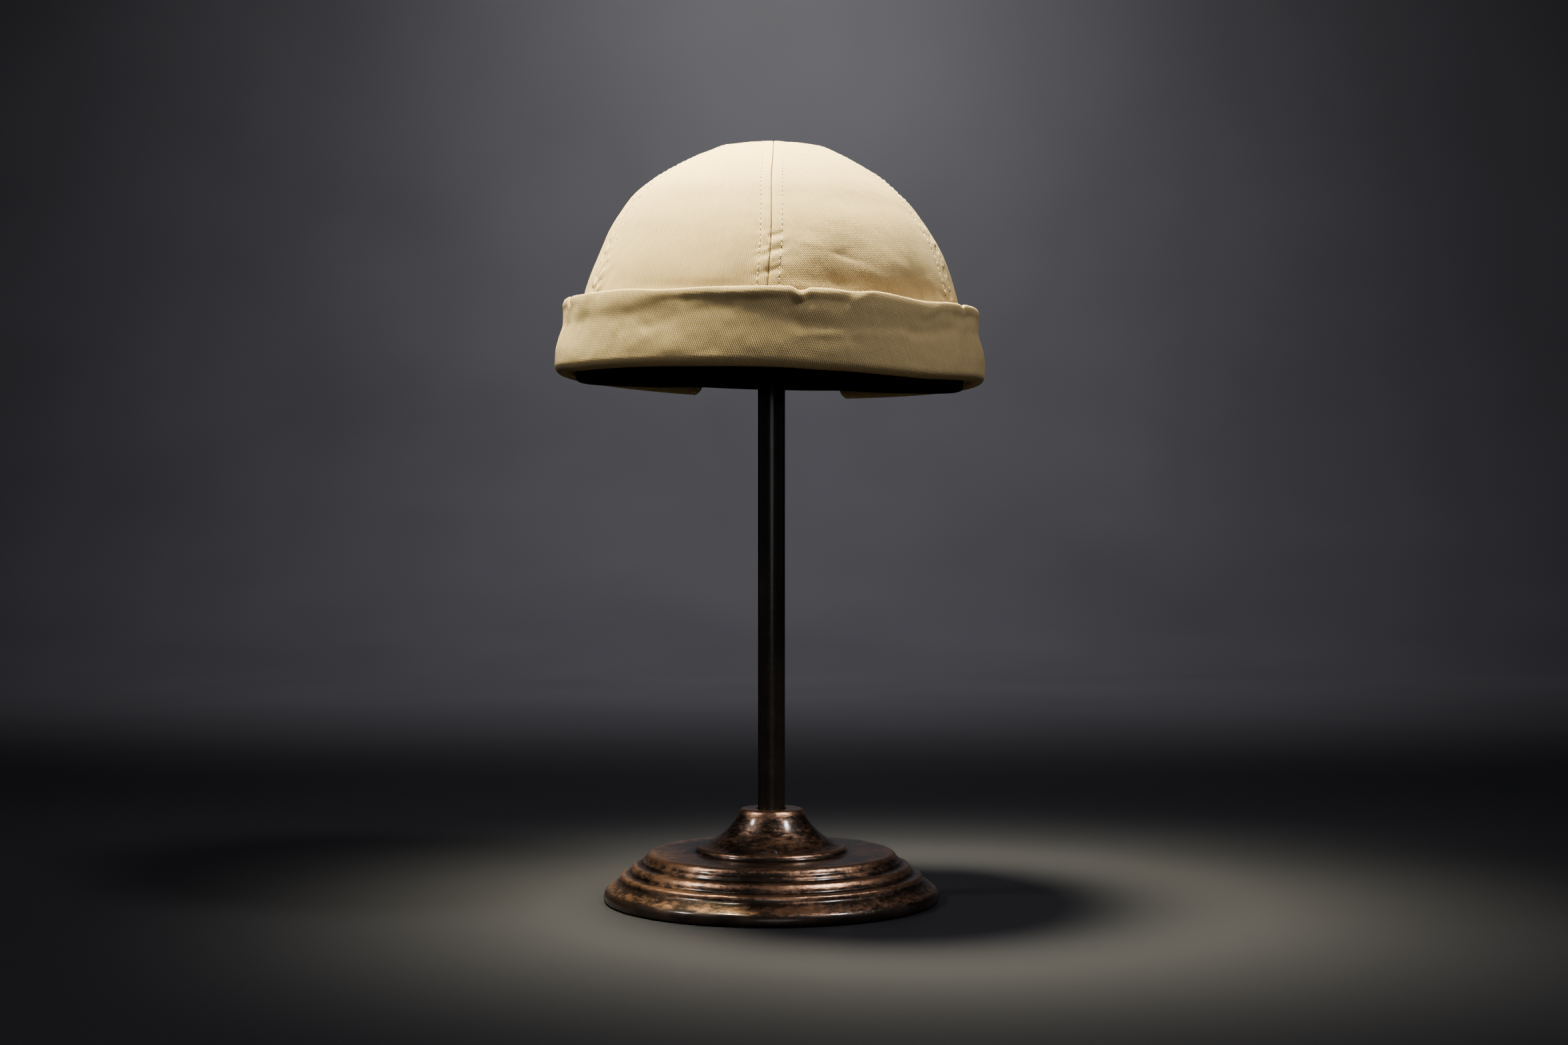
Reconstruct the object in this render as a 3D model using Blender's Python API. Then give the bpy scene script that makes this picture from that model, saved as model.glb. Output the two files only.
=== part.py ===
"""Brimless sailor cap with a turned-up cuff, on the turned display stand that holds it.

Metres, +Z up, the front of the cap towards -Y. The origin is the middle of the stand's underside.
Azimuths run from the front, in degrees, positive towards the wearer's left, which is +X.
"""

import math

import bmesh
import bpy
from mathutils import Matrix, Vector

# Stand
BASE_RADIUS = 0.078
BASE_HEIGHT = 0.0424
POLE_RADIUS = 0.00635
POLE_SOCKET_DEPTH = 0.014
STAND_HEIGHT = 0.3472
SEAT_RADIUS = 0.027
SEAT_THICKNESS = 0.007
SEAT_EDGE_ROUND = 0.002
SEAT_SOCKET_DEPTH = 0.0035

# Crown of six gores
CROWN_WIDTH = 0.1834
CROWN_LENGTH = 0.198
CROWN_DEPTH = 0.106
CLOTH = 0.0015
TIP_RADIUS = 0.0008
SHOULDER_SLOPE = math.radians(26)
SEAM_TWIST = math.radians(3)

# The rim rises at the back, between two azimuths and over this much of the cloth above it
RIM_RISE = 0.0015
RIM_RISE_FROM = math.radians(138)
RIM_RISE_FULL = math.radians(160)
RIM_RISE_REACH = 0.0076

# Cuff, turned up from a fold below the crown's rim
CUFF_HEIGHT = 0.0338
CUFF_WALL = 0.0022
CUFF_FOLD = 0.0078
CUFF_DROP = 0.0031
CUFF_LEG = 0.0105
CUFF_STAND_OFF = 0.0063
CUFF_CORNER = 0.005
BACK_OPENING = 0.075

# Sweatband and adjuster strap
SWEATBAND_HEIGHT = 0.028
SWEATBAND_THICKNESS = 0.0012
SWEATBAND_DROP = 0.0036
SWEATBAND_BACK_DROP = 0.0002
BACK_DROP_FROM = math.radians(92)
BACK_DROP_FULL = math.radians(150)
STRAP_WIDTH = 0.018
STRAP_THICKNESS = 0.0016
STRAP_TUCK = 0.012
STRAP_RISE = 0.0012
STRAP_GAP = 0.00045

# How the cap hangs: the tilt comes in over a share of the depth, the sway between two shares of it
CAP_TILT = math.radians(1.4)
TILT_FULL = 0.25
CAP_SWAY = 0.0018
SWAY_FROM = 0.14
SWAY_FULL = 0.54

# The deepest fold in the cloth. The crown's dents fade out near the sweatband and near the seat,
# the cuff's folds between two shares of its height
FOLD_DEPTH = 0.004
BAND_FADE = 0.0088
SEAT_FADE = 0.0053
CUFF_FOLDS_FROM = 0.2
CUFF_FOLDS_FULL = 0.53

CLEARANCE = 0.0003
MERGE_DISTANCE = 0.00001

# Turned profile of the base, from the foot up: share of BASE_RADIUS, share of BASE_HEIGHT
BASE_PROFILE = (
    (0.988, 0.000),
    (1.000, 0.024),
    (1.000, 0.083),
    (0.988, 0.125),
    (0.945, 0.180),
    (0.910, 0.222),
    (0.900, 0.250),
    (0.903, 0.275),
    (0.885, 0.297),
    (0.846, 0.302),
    (0.838, 0.345),
    (0.820, 0.390),
    (0.776, 0.405),
    (0.768, 0.443),
    (0.750, 0.460),
    (0.742, 0.500),
    (0.724, 0.526),
    (0.460, 0.528),
    (0.450, 0.545),
    (0.447, 0.572),
    (0.436, 0.587),
    (0.420, 0.590),
    (0.370, 0.625),
    (0.320, 0.684),
    (0.282, 0.740),
    (0.252, 0.797),
    (0.226, 0.860),
    (0.204, 0.922),
    (0.193, 0.972),
    (0.182, 1.000),
)

# Side outline of the crown below the seat: share of the way out to the rim, share of the way down
CROWN_OUTLINE = (
    (0.097, 0.029),
    (0.225, 0.070),
    (0.383, 0.127),
    (0.505, 0.186),
    (0.600, 0.243),
    (0.669, 0.301),
    (0.731, 0.360),
    (0.783, 0.420),
    (0.862, 0.536),
    (0.917, 0.640),
    (0.957, 0.763),
    (0.986, 0.886),
    (1.000, 1.000),
)

# Outer wall of the cuff: share of the height, share of the lean from the fold in to the top edge
CUFF_OUTLINE = (
    (1.00, 1.00),
    (0.93, 0.90),
    (0.78, 0.84),
    (0.64, 0.76),
    (0.53, 0.48),
    (0.42, 0.20),
    (0.28, 0.02),
)

# Edges of the cuff: azimuth, lift of the top edge, lift of the fold, both as shares of CUFF_HEIGHT
CUFF_EDGES = (
    (-180, 0.060, 0.000),
    (-90, 0.060, 0.050),
    (-77, 0.048, 0.045),
    (-60, 0.020, 0.012),
    (-41, 0.012, 0.006),
    (-28, -0.024, 0.004),
    (-16, -0.006, 0.000),
    (-3, 0.006, 0.003),
    (5, 0.018, 0.000),
    (7.6, -0.038, -0.004),
    (10.5, 0.008, -0.010),
    (14, 0.010, -0.014),
    (22, -0.010, -0.016),
    (28, 0.014, -0.024),
    (43, -0.040, -0.032),
    (57, 0.010, 0.004),
    (70, 0.040, 0.040),
    (90, 0.060, 0.050),
    (180, 0.060, 0.000),
)

# Folds pressed into the cuff's wall: azimuth, share of the height, half-width in degrees,
# half-height as a share, lean in shares per degree, depth as a share of FOLD_DEPTH
CUFF_FOLDS = (
    (-31, 0.74, 9, 0.13, 0.011, 0.55),
    (-19, 0.90, 9, 0.10, 0.004, 0.50),
    (-29, 0.55, 8, 0.12, 0.010, -0.20),
    (8, 0.86, 3, 0.20, 0.000, 0.35),
    (26, 0.90, 5, 0.14, 0.000, -0.25),
    (35, 0.62, 12, 0.12, 0.016, 0.35),
    (58, 0.88, 6, 0.20, 0.000, 0.35),
    (-64, 0.45, 12, 0.25, 0.000, 0.25),
    (-104, 0.60, 14, 0.22, 0.004, 0.40),
    (-140, 0.70, 12, 0.20, -0.006, 0.35),
    (98, 0.55, 14, 0.22, -0.005, 0.40),
    (136, 0.72, 12, 0.20, 0.005, 0.35),
)

# Soft hollows and swells of the crown: azimuth, share of the depth below the top, half-width in
# degrees, half-height as a share, lean in shares per degree, depth as a share of FOLD_DEPTH
CROWN_FOLDS = (
    (22, 0.55, 8, 0.10, 0.002, 0.35),
    (15, 0.67, 13, 0.05, 0.000, 0.40),
    (38, 0.63, 7, 0.05, 0.000, -0.25),
    (55, 0.66, 8, 0.07, 0.003, 0.45),
    (30, 0.30, 20, 0.08, 0.000, 0.20),
    (-78, 0.05, 42, 0.07, 0.000, -0.48),
    (-80, 0.22, 40, 0.10, 0.000, -0.20),
    (80, 0.14, 40, 0.10, 0.000, 0.20),
    (-30, 0.62, 14, 0.06, 0.000, 0.20),
    (-100, 0.45, 16, 0.14, 0.000, 0.30),
    (105, 0.50, 16, 0.14, 0.000, 0.35),
    (-150, 0.60, 14, 0.12, 0.000, 0.30),
    (150, 0.42, 16, 0.14, 0.000, 0.30),
)

# Panels of the crown: name, azimuth of the first seam, azimuth of the last seam
PANELS = (
    ("panel_front_right", 0, 66),
    ("panel_side_right", 66, 122),
    ("panel_back_right", 122, 180),
    ("panel_back_left", 180, 238),
    ("panel_side_left", 238, 294),
    ("panel_front_left", 294, 360),
)

# Facets
PANEL_COLUMNS = 8
CUFF_COLUMNS = 64
FOLD_STEPS = 5
NARROW_ROWS = 3
STRAP_COLUMNS = 14
ROUND_SIDES = 40
EDGE_STEPS = 3
TURNED_CREASE = math.radians(35)
CLOTH_CREASE = math.radians(50)

TWILL = ("cotton_twill", (0.62, 0.49, 0.31), 0.85, 0.0)
BAND_CLOTH = ("band_cloth", (0.02, 0.019, 0.018), 0.8, 0.0)
STRAP_CLOTH = ("strap_twill", (0.55, 0.43, 0.27), 0.85, 0.0)
LACQUER = ("bronze_lacquer", (0.05, 0.022, 0.012), 0.3, 0.6)

CAP_TOP = STAND_HEIGHT + CLEARANCE + CLOTH
RIM_HEIGHT = CAP_TOP - CROWN_DEPTH
CUFF_BOTTOM = RIM_HEIGHT - CUFF_DROP


def clear_scene():
    """Start from an empty scene."""
    for item in list(bpy.data.objects):
        bpy.data.objects.remove(item, do_unlink=True)


def material(name, colour, roughness, metallic):
    """A Principled material with one colour, made once and shared by name."""
    made = bpy.data.materials.get(name)
    if made is None:
        made = bpy.data.materials.new(name)
        made.use_nodes = True
        shader = made.node_tree.nodes["Principled BSDF"]
        shader.inputs["Base Color"].default_value = (*colour, 1.0)
        shader.inputs["Roughness"].default_value = roughness
        shader.inputs["Metallic"].default_value = metallic
    return made


def add_object(name, mesh, finish):
    """Put a finished mesh into the scene under its own name."""
    item = bpy.data.objects.new(name, mesh)
    mesh.materials.append(material(*finish))
    bpy.context.scene.collection.objects.link(item)
    return item


def between(low, high, share):
    return low + (high - low) * share


def read_table(rows, value, column):
    """Straight-line reading of a table whose first column rises."""
    for first, second in zip(rows, rows[1:]):
        if value <= second[0]:
            share = (value - first[0]) / (second[0] - first[0])
            return between(first[column], second[column], max(0.0, share))
    return rows[-1][column]


def eased(share):
    """Smooth step from 0 to 1."""
    share = min(1.0, max(0.0, share))
    return share * share * (3 - 2 * share)


def turned(name, profile, finish):
    """A solid of revolution from an outline of radius and height that starts and ends on the axis."""
    ring = []
    shape = bmesh.new()
    for radius, height in profile:
        ring.append(shape.verts.new((radius, 0.0, height)))
    edges = [shape.edges.new(pair) for pair in zip(ring, ring[1:])]
    bmesh.ops.spin(
        shape,
        geom=ring + edges,
        cent=(0, 0, 0),
        axis=(0, 0, 1),
        angle=math.tau,
        steps=ROUND_SIDES,
    )
    bmesh.ops.remove_doubles(shape, verts=shape.verts, dist=MERGE_DISTANCE)
    bmesh.ops.recalc_face_normals(shape, faces=shape.faces)
    mesh = bpy.data.meshes.new(name)
    shape.to_mesh(mesh)
    shape.free()
    mesh.shade_smooth()
    mesh.set_sharp_from_angle(angle=TURNED_CREASE)
    return add_object(name, mesh, finish)


def cloth_piece(name, surface, columns, rows, finish, closed=False):
    """A cloth wall: surface(u, v, side) gives its two faces, side 0 outside and side 1 inside.

    A closed piece runs right round, so its last column is its first.
    """
    shape = bmesh.new()
    across = columns if closed else columns + 1
    grids = []
    for side in (0, 1):
        grid = []
        for column in range(across):
            line = [surface(column / columns, row / rows, side) for row in range(rows + 1)]
            grid.append([shape.verts.new(point) for point in line])
        grids.append(grid)
    outer, inner = grids
    for column in range(columns):
        following = (column + 1) % across
        for row in range(rows):
            for grid, order in ((outer, 1), (inner, -1)):
                corners = (
                    grid[column][row],
                    grid[following][row],
                    grid[following][row + 1],
                    grid[column][row + 1],
                )
                shape.faces.new(corners[::order])
        for row, order in ((0, -1), (rows, 1)):
            corners = (outer[column][row], outer[following][row], inner[following][row], inner[column][row])
            shape.faces.new(corners[::order])
    if not closed:
        for column, order in ((0, 1), (columns, -1)):
            for row in range(rows):
                corners = (
                    outer[column][row],
                    outer[column][row + 1],
                    inner[column][row + 1],
                    inner[column][row],
                )
                shape.faces.new(corners[::order])
    bmesh.ops.recalc_face_normals(shape, faces=shape.faces)
    mesh = bpy.data.meshes.new(name)
    shape.to_mesh(mesh)
    shape.free()
    mesh.shade_smooth()
    mesh.set_sharp_from_angle(angle=CLOTH_CREASE)
    return add_object(name, mesh, finish)


def pressed(azimuth, height_share, folds):
    """How far the folds press the cloth in at an azimuth in degrees and a share of the height."""
    depth = 0.0
    for centre, level, half_width, half_height, lean, share in folds:
        along = (azimuth - centre + 180) % 360 - 180
        up = height_share - level - lean * along
        depth += share * math.exp(-((along / half_width) ** 2) - (up / half_height) ** 2)
    return depth * FOLD_DEPTH


def hang(point):
    """Tip the cap to one side about the seat, level on the seat itself, and let its lower part sway."""
    down = (CAP_TOP - point.z) / CROWN_DEPTH
    pivot = Vector((0, 0, CAP_TOP))
    tipped = Matrix.Rotation(CAP_TILT * eased(down / TILT_FULL), 3, "Y") @ (point - pivot)
    sway = CAP_SWAY * eased((down - SWAY_FROM) / (SWAY_FULL - SWAY_FROM))
    return tipped + pivot + Vector((sway, 0, 0))


def crown_rows():
    """The crown's outline from the middle of the top down to the rim: half-width, half-length, height."""
    flat = SEAT_RADIUS - SEAT_EDGE_ROUND
    bend = SEAT_EDGE_ROUND + CLEARANCE + CLOTH
    edge = flat + bend * math.sin(SHOULDER_SLOPE)
    edge_height = CAP_TOP - bend * (1 - math.cos(SHOULDER_SLOPE))
    rows = [
        (TIP_RADIUS, TIP_RADIUS, CAP_TOP),
        (flat / 2, flat / 2, CAP_TOP),
        (flat, flat, CAP_TOP),
        (edge, edge, edge_height),
    ]
    for out, down in CROWN_OUTLINE:
        half_width = between(edge, CROWN_WIDTH / 2, out)
        half_length = between(edge, CROWN_LENGTH / 2, out)
        rows.append((half_width, half_length, between(edge_height, RIM_HEIGHT, down)))
    return rows


CROWN_ROWS = crown_rows()


def crown_row_at(height):
    """The row, as a fraction, where the crown's outline has this height."""
    for row, (upper, lower) in enumerate(zip(CROWN_ROWS[3:], CROWN_ROWS[4:]), start=3):
        if height >= lower[2]:
            return row + (upper[2] - height) / (upper[2] - lower[2])
    return len(CROWN_ROWS) - 1.0


def crown_size(row):
    """Half-width, half-length and height of the crown at a fractional row."""
    first = min(int(row), len(CROWN_ROWS) - 2)
    return [between(low, high, row - first) for low, high in zip(CROWN_ROWS[first], CROWN_ROWS[first + 1])]


def back_share(angle, start, full):
    """Share from 0 before the first angle to 1 past the second, on either side of the front."""
    from_front = abs(math.remainder(angle, math.tau))
    return eased((from_front - start) / (full - start))


def crown_skin(angle, row):
    half_width, half_length, height = crown_size(row)
    rise = RIM_RISE * back_share(angle, RIM_RISE_FROM, RIM_RISE_FULL)
    rise *= eased(1 - (height - RIM_HEIGHT) / RIM_RISE_REACH)
    return Vector((half_width * math.sin(angle), -half_length * math.cos(angle), height + rise))


def crown_point(angle, row, inward, drop=0.0):
    """A point of the crown's cloth, this far inside its outer face and this far below its own height."""
    last = len(CROWN_ROWS) - 1
    step = 0.5
    downhill = crown_skin(angle, min(row + step, last)) - crown_skin(angle, max(row - step, 0))
    around = Vector((crown_size(row)[0] * math.cos(angle), crown_size(row)[1] * math.sin(angle), 0))
    outward = downhill.cross(around).normalized()
    height = crown_size(row)[2]
    free = eased((height - RIM_HEIGHT - SWEATBAND_HEIGHT) / BAND_FADE)
    free *= eased((CROWN_ROWS[3][2] - height) / SEAT_FADE)
    dent = free * pressed(math.degrees(angle), (CAP_TOP - height) / CROWN_DEPTH, CROWN_FOLDS)
    return hang(crown_skin(angle, row) - outward * (inward + dent) - Vector((0, 0, drop)))


def panel(name, first_seam, last_seam):
    """One gore of the crown, half the clearance short of both its seams."""
    rows = len(CROWN_ROWS) - 1
    span = math.radians(last_seam - first_seam)

    def surface(u, v, side):
        row = v * rows
        half_width, half_length, height = crown_size(row)
        twist = SEAM_TWIST * (1 - (CAP_TOP - height) / CROWN_DEPTH)
        start = math.radians(first_seam) + twist
        radius = between(half_width, half_length, math.cos(start + span * round(u)) ** 2)
        inset = CLEARANCE / 2 / radius
        angle = between(start + inset, start + span - inset, u)
        return crown_point(angle, row, CLOTH * side)

    return cloth_piece(name, surface, PANEL_COLUMNS, rows, TWILL)


def rim_outline(angle, out):
    """A point this far outside the crown's rim, on the level of the origin."""
    half_width = CROWN_WIDTH / 2
    half_length = CROWN_LENGTH / 2
    place = Vector((half_width * math.sin(angle), -half_length * math.cos(angle), 0))
    away = Vector((half_length * math.sin(angle), -half_width * math.cos(angle), 0)).normalized()
    return place + away * out


def cuff_section(azimuth):
    """The cuff cut through at an azimuth in degrees: for each row its outer and inner face.

    Each face is a distance out from the rim and a height. The rows run down the outer wall,
    round the fold and up the short leg that lies against the crown.
    """
    bottom = CUFF_BOTTOM + CUFF_HEIGHT * read_table(CUFF_EDGES, azimuth, 2)
    top = CUFF_BOTTOM + CUFF_HEIGHT * (1 + read_table(CUFF_EDGES, azimuth, 1))
    fold_out = CLEARANCE + CUFF_FOLD
    crown_in = CROWN_WIDTH / 2 - crown_size(crown_row_at(top))[0]
    lean = fold_out - (CUFF_STAND_OFF + CUFF_WALL - crown_in)
    rows = []
    for share, leaning in CUFF_OUTLINE:
        height = between(bottom, top, share)
        free = eased((share - CUFF_FOLDS_FROM) / (CUFF_FOLDS_FULL - CUFF_FOLDS_FROM))
        out = fold_out - lean * leaning - free * pressed(azimuth, share, CUFF_FOLDS)
        rows.append(((out, height), (out - CUFF_WALL, height)))
    radius = CUFF_FOLD / 2
    centre = (CLEARANCE + radius, bottom + radius)
    for step in range(FOLD_STEPS + 1):
        turn = math.pi * step / FOLD_STEPS
        face = []
        for reach in (radius, radius - CUFF_WALL):
            face.append((centre[0] + reach * math.cos(turn), centre[1] - reach * math.sin(turn)))
        rows.append(tuple(face))
    leg_top = bottom + CUFF_LEG
    rows.append(((CLEARANCE, leg_top), (CLEARANCE + CUFF_WALL, leg_top)))
    return rows


def back_end(height_share):
    """Azimuth at which the cuff ends at the back, with its lower corner rounded off."""
    half_opening = BACK_OPENING / 2
    above = height_share * CUFF_HEIGHT / CUFF_CORNER
    if above < 1:
        half_opening += CUFF_CORNER * (1 - math.sqrt(1 - (1 - above) ** 2))
    reach = CROWN_WIDTH / 2 + CUFF_FOLD
    return math.pi - math.asin(min(1.0, half_opening / reach))


def cuff():
    """The turned-up band, open at the back."""
    rows = len(cuff_section(0)) - 1

    def surface(u, v, side):
        row = round(v * rows)
        _, height = cuff_section(0)[row][side]
        end = back_end(max(0.0, height - CUFF_BOTTOM) / CUFF_HEIGHT)
        angle = between(-end, end, u)
        out, height = cuff_section(math.degrees(angle))[row][side]
        place = rim_outline(angle, out)
        return hang(Vector((place.x, place.y, height)))

    return cloth_piece("cuff", surface, CUFF_COLUMNS, rows, TWILL)


def sweatband():
    """The closed band that lines the crown's lower edge and hangs a little below its rim."""

    def surface(u, v, side):
        angle = math.tau * u
        back = back_share(angle, BACK_DROP_FROM, BACK_DROP_FULL)
        lowest = RIM_HEIGHT - between(SWEATBAND_DROP, SWEATBAND_BACK_DROP, back)
        height = between(RIM_HEIGHT + SWEATBAND_HEIGHT - SWEATBAND_DROP, lowest, v)
        inward = CLOTH + CLEARANCE + SWEATBAND_THICKNESS * side
        drop = max(0.0, RIM_HEIGHT - height)
        return crown_point(angle, crown_row_at(height + drop), inward, drop)

    return cloth_piece("sweatband", surface, PANEL_COLUMNS * len(PANELS), NARROW_ROWS, BAND_CLOTH, closed=True)


def back_strap():
    """The adjuster strap, laid on the crown above the cuff's leg, with its ends behind the cuff."""
    lower = CUFF_BOTTOM + CUFF_LEG + STRAP_RISE
    reach = math.asin((BACK_OPENING / 2 + STRAP_TUCK) / (CROWN_WIDTH / 2))

    def surface(u, v, side):
        angle = math.pi + between(-reach, reach, u)
        row = crown_row_at(between(lower + STRAP_WIDTH, lower, v))
        return crown_point(angle, row, -(STRAP_GAP + STRAP_THICKNESS * (1 - side)))

    return cloth_piece("back_strap", surface, STRAP_COLUMNS, NARROW_ROWS, STRAP_CLOTH)


def stand_base():
    """The turned base, with a blind socket for the pole."""
    socket = POLE_RADIUS + CLEARANCE
    floor_height = BASE_HEIGHT - POLE_SOCKET_DEPTH
    profile = [(0.0, 0.0)]
    profile += [(radius * BASE_RADIUS, height * BASE_HEIGHT) for radius, height in BASE_PROFILE]
    profile += [(socket, BASE_HEIGHT), (socket, floor_height), (0.0, floor_height)]
    return turned("stand_base", profile, LACQUER)


def stand_pole():
    """The plain round pole, from the base's socket up into the seat's."""
    foot = BASE_HEIGHT - POLE_SOCKET_DEPTH + CLEARANCE
    head = STAND_HEIGHT - SEAT_THICKNESS + SEAT_SOCKET_DEPTH - CLEARANCE
    profile = [(0.0, foot), (POLE_RADIUS, foot), (POLE_RADIUS, head), (0.0, head)]
    return turned("stand_pole", profile, LACQUER)


def stand_seat():
    """The round disc that the crown hangs on, with a rounded upper edge and a socket below."""
    under = STAND_HEIGHT - SEAT_THICKNESS
    socket = POLE_RADIUS + CLEARANCE
    profile = [(0.0, under + SEAT_SOCKET_DEPTH), (socket, under + SEAT_SOCKET_DEPTH), (socket, under)]
    profile.append((SEAT_RADIUS, under))
    for step in range(EDGE_STEPS + 1):
        turn = math.radians(90) * step / EDGE_STEPS
        radius = SEAT_RADIUS - SEAT_EDGE_ROUND * (1 - math.cos(turn))
        height = STAND_HEIGHT - SEAT_EDGE_ROUND * (1 - math.sin(turn))
        profile.append((radius, height))
    profile.append((0.0, STAND_HEIGHT))
    return turned("stand_seat", profile, LACQUER)


def build():
    clear_scene()
    stand_base()
    stand_pole()
    stand_seat()
    for name, first_seam, last_seam in PANELS:
        panel(name, first_seam, last_seam)
    cuff()
    sweatband()
    back_strap()


build()
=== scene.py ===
"""Looks of a brimless sailor cap with a turned-up cuff, on the turned stand that holds it.

Each piece of cloth and metal stands for the CAD node in whose place it is made, in finer detail.
Metres, +Z up, the front of the cap towards -Y. Azimuths run from the front, in degrees, positive
towards the wearer's left, which is +X.
"""

import math

import bmesh
import bpy
import numpy as np
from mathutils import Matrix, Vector


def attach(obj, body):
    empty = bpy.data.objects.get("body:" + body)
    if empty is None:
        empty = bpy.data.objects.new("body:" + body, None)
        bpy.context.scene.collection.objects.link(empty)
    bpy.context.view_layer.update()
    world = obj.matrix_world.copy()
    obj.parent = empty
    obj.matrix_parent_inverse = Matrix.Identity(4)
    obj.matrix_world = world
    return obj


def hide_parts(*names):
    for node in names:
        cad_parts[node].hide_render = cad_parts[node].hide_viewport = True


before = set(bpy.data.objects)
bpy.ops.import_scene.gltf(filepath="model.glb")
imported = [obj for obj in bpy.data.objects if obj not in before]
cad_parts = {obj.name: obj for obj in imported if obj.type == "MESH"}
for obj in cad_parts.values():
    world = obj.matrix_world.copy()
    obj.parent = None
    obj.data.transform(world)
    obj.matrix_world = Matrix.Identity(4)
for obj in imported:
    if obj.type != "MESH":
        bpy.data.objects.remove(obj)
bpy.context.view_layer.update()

MM = 0.001

# The part's own sizes, in metres
BASE_RADIUS, BASE_HEIGHT = 0.078, 0.0424
POLE_RADIUS, POLE_SOCKET_DEPTH = 0.00635, 0.014
STAND_HEIGHT = 0.3472
SEAT_RADIUS, SEAT_THICKNESS, SEAT_EDGE_ROUND, SEAT_SOCKET_DEPTH = 0.027, 0.007, 0.002, 0.0035
CROWN_WIDTH, CROWN_LENGTH, CROWN_DEPTH = 0.1834, 0.198, 0.106
CLOTH = 0.0015
SHOULDER_SLOPE = math.radians(26)
SEAM_TWIST = math.radians(3)
RIM_RISE, RIM_RISE_REACH = 0.0015, 0.0076
RIM_RISE_FROM, RIM_RISE_FULL = math.radians(138), math.radians(160)
CUFF_HEIGHT, CUFF_WALL, CUFF_FOLD, CUFF_DROP, CUFF_LEG = 0.0338, 0.0022, 0.0078, 0.0031, 0.0105
CUFF_STAND_OFF, CUFF_CORNER, BACK_OPENING = 0.0063, 0.005, 0.075
SWEATBAND_HEIGHT, SWEATBAND_THICKNESS, SWEATBAND_DROP, SWEATBAND_BACK_DROP = 0.028, 0.0012, 0.0036, 0.0002
BACK_DROP_FROM, BACK_DROP_FULL = math.radians(92), math.radians(150)
STRAP_WIDTH, STRAP_THICKNESS, STRAP_TUCK, STRAP_RISE, STRAP_GAP = 0.018, 0.0016, 0.012, 0.0012, 0.00045
CAP_TILT, TILT_FULL = math.radians(1.4), 0.25
CAP_SWAY, SWAY_FROM, SWAY_FULL = 0.0018, 0.14, 0.54
FOLD_DEPTH, BAND_FADE, SEAT_FADE = 0.004, 0.0088, 0.0053
CUFF_FOLDS_FROM, CUFF_FOLDS_FULL = 0.2, 0.53
CLEARANCE = 0.0003
CAP_TOP = STAND_HEIGHT + CLEARANCE + CLOTH
RIM_HEIGHT = CAP_TOP - CROWN_DEPTH
CUFF_BOTTOM = RIM_HEIGHT - CUFF_DROP

# Turned profile of the base, from the foot up: share of BASE_RADIUS, share of BASE_HEIGHT
BASE_PROFILE = (
    (0.988, 0.000), (1.000, 0.024), (1.000, 0.083), (0.988, 0.125), (0.945, 0.180), (0.910, 0.222),
    (0.900, 0.250), (0.903, 0.275), (0.885, 0.297), (0.846, 0.302), (0.838, 0.345), (0.820, 0.390),
    (0.776, 0.405), (0.768, 0.443), (0.750, 0.460), (0.742, 0.500), (0.724, 0.526), (0.460, 0.528),
    (0.450, 0.545), (0.447, 0.572), (0.436, 0.587), (0.420, 0.590), (0.370, 0.625), (0.320, 0.684),
    (0.282, 0.740), (0.252, 0.797), (0.226, 0.860), (0.204, 0.922), (0.193, 0.972), (0.182, 1.000),
)

# Side outline of the crown below the seat: share of the way out to the rim, share of the way down
CROWN_OUTLINE = (
    (0.097, 0.029), (0.225, 0.070), (0.383, 0.127), (0.505, 0.186), (0.600, 0.243), (0.669, 0.301),
    (0.731, 0.360), (0.783, 0.420), (0.862, 0.536), (0.917, 0.640), (0.957, 0.763), (0.986, 0.886),
    (1.000, 1.000),
)

# Outer wall of the cuff, from the fold up: share of the height, share of the lean in to the top edge
CUFF_OUTLINE = (
    (0.11, 0.00), (0.28, 0.02), (0.42, 0.20), (0.53, 0.48), (0.64, 0.76), (0.78, 0.84), (0.93, 0.90),
    (1.00, 1.00),
)

# The same wall at the front, where it leans in more evenly
CUFF_FRONT_OUTLINE = (
    (0.11, 0.00), (0.22, 0.09), (0.36, 0.26), (0.52, 0.45), (0.68, 0.62), (0.84, 0.78), (1.00, 1.00),
)
FRONT_UNTIL, FRONT_FADED = math.radians(48), math.radians(80)

# Edges of the cuff: azimuth, lift of the top edge, lift of the fold, both as shares of CUFF_HEIGHT
CUFF_EDGES = (
    (-180, 0.060, 0.000), (-90, 0.060, 0.050), (-77, 0.048, 0.045), (-72, 0.042, 0.038),
    (-70, 0.008, 0.033), (-68, 0.034, 0.028), (-60, 0.020, 0.012),
    (-41, 0.012, 0.006), (-28, -0.024, 0.004), (-16, -0.006, 0.000), (-3, 0.006, 0.003),
    (5, 0.018, 0.000), (7.6, -0.038, -0.004), (10.5, 0.008, -0.010), (14, 0.010, -0.014),
    (22, -0.010, -0.016), (28, 0.014, -0.024), (43, -0.040, -0.032), (57, 0.010, 0.004),
    (60.5, 0.014, 0.012), (62.5, -0.010, 0.018), (64.5, 0.024, 0.024), (70, 0.040, 0.040),
    (90, 0.060, 0.050), (180, 0.060, 0.000),
)

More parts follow.
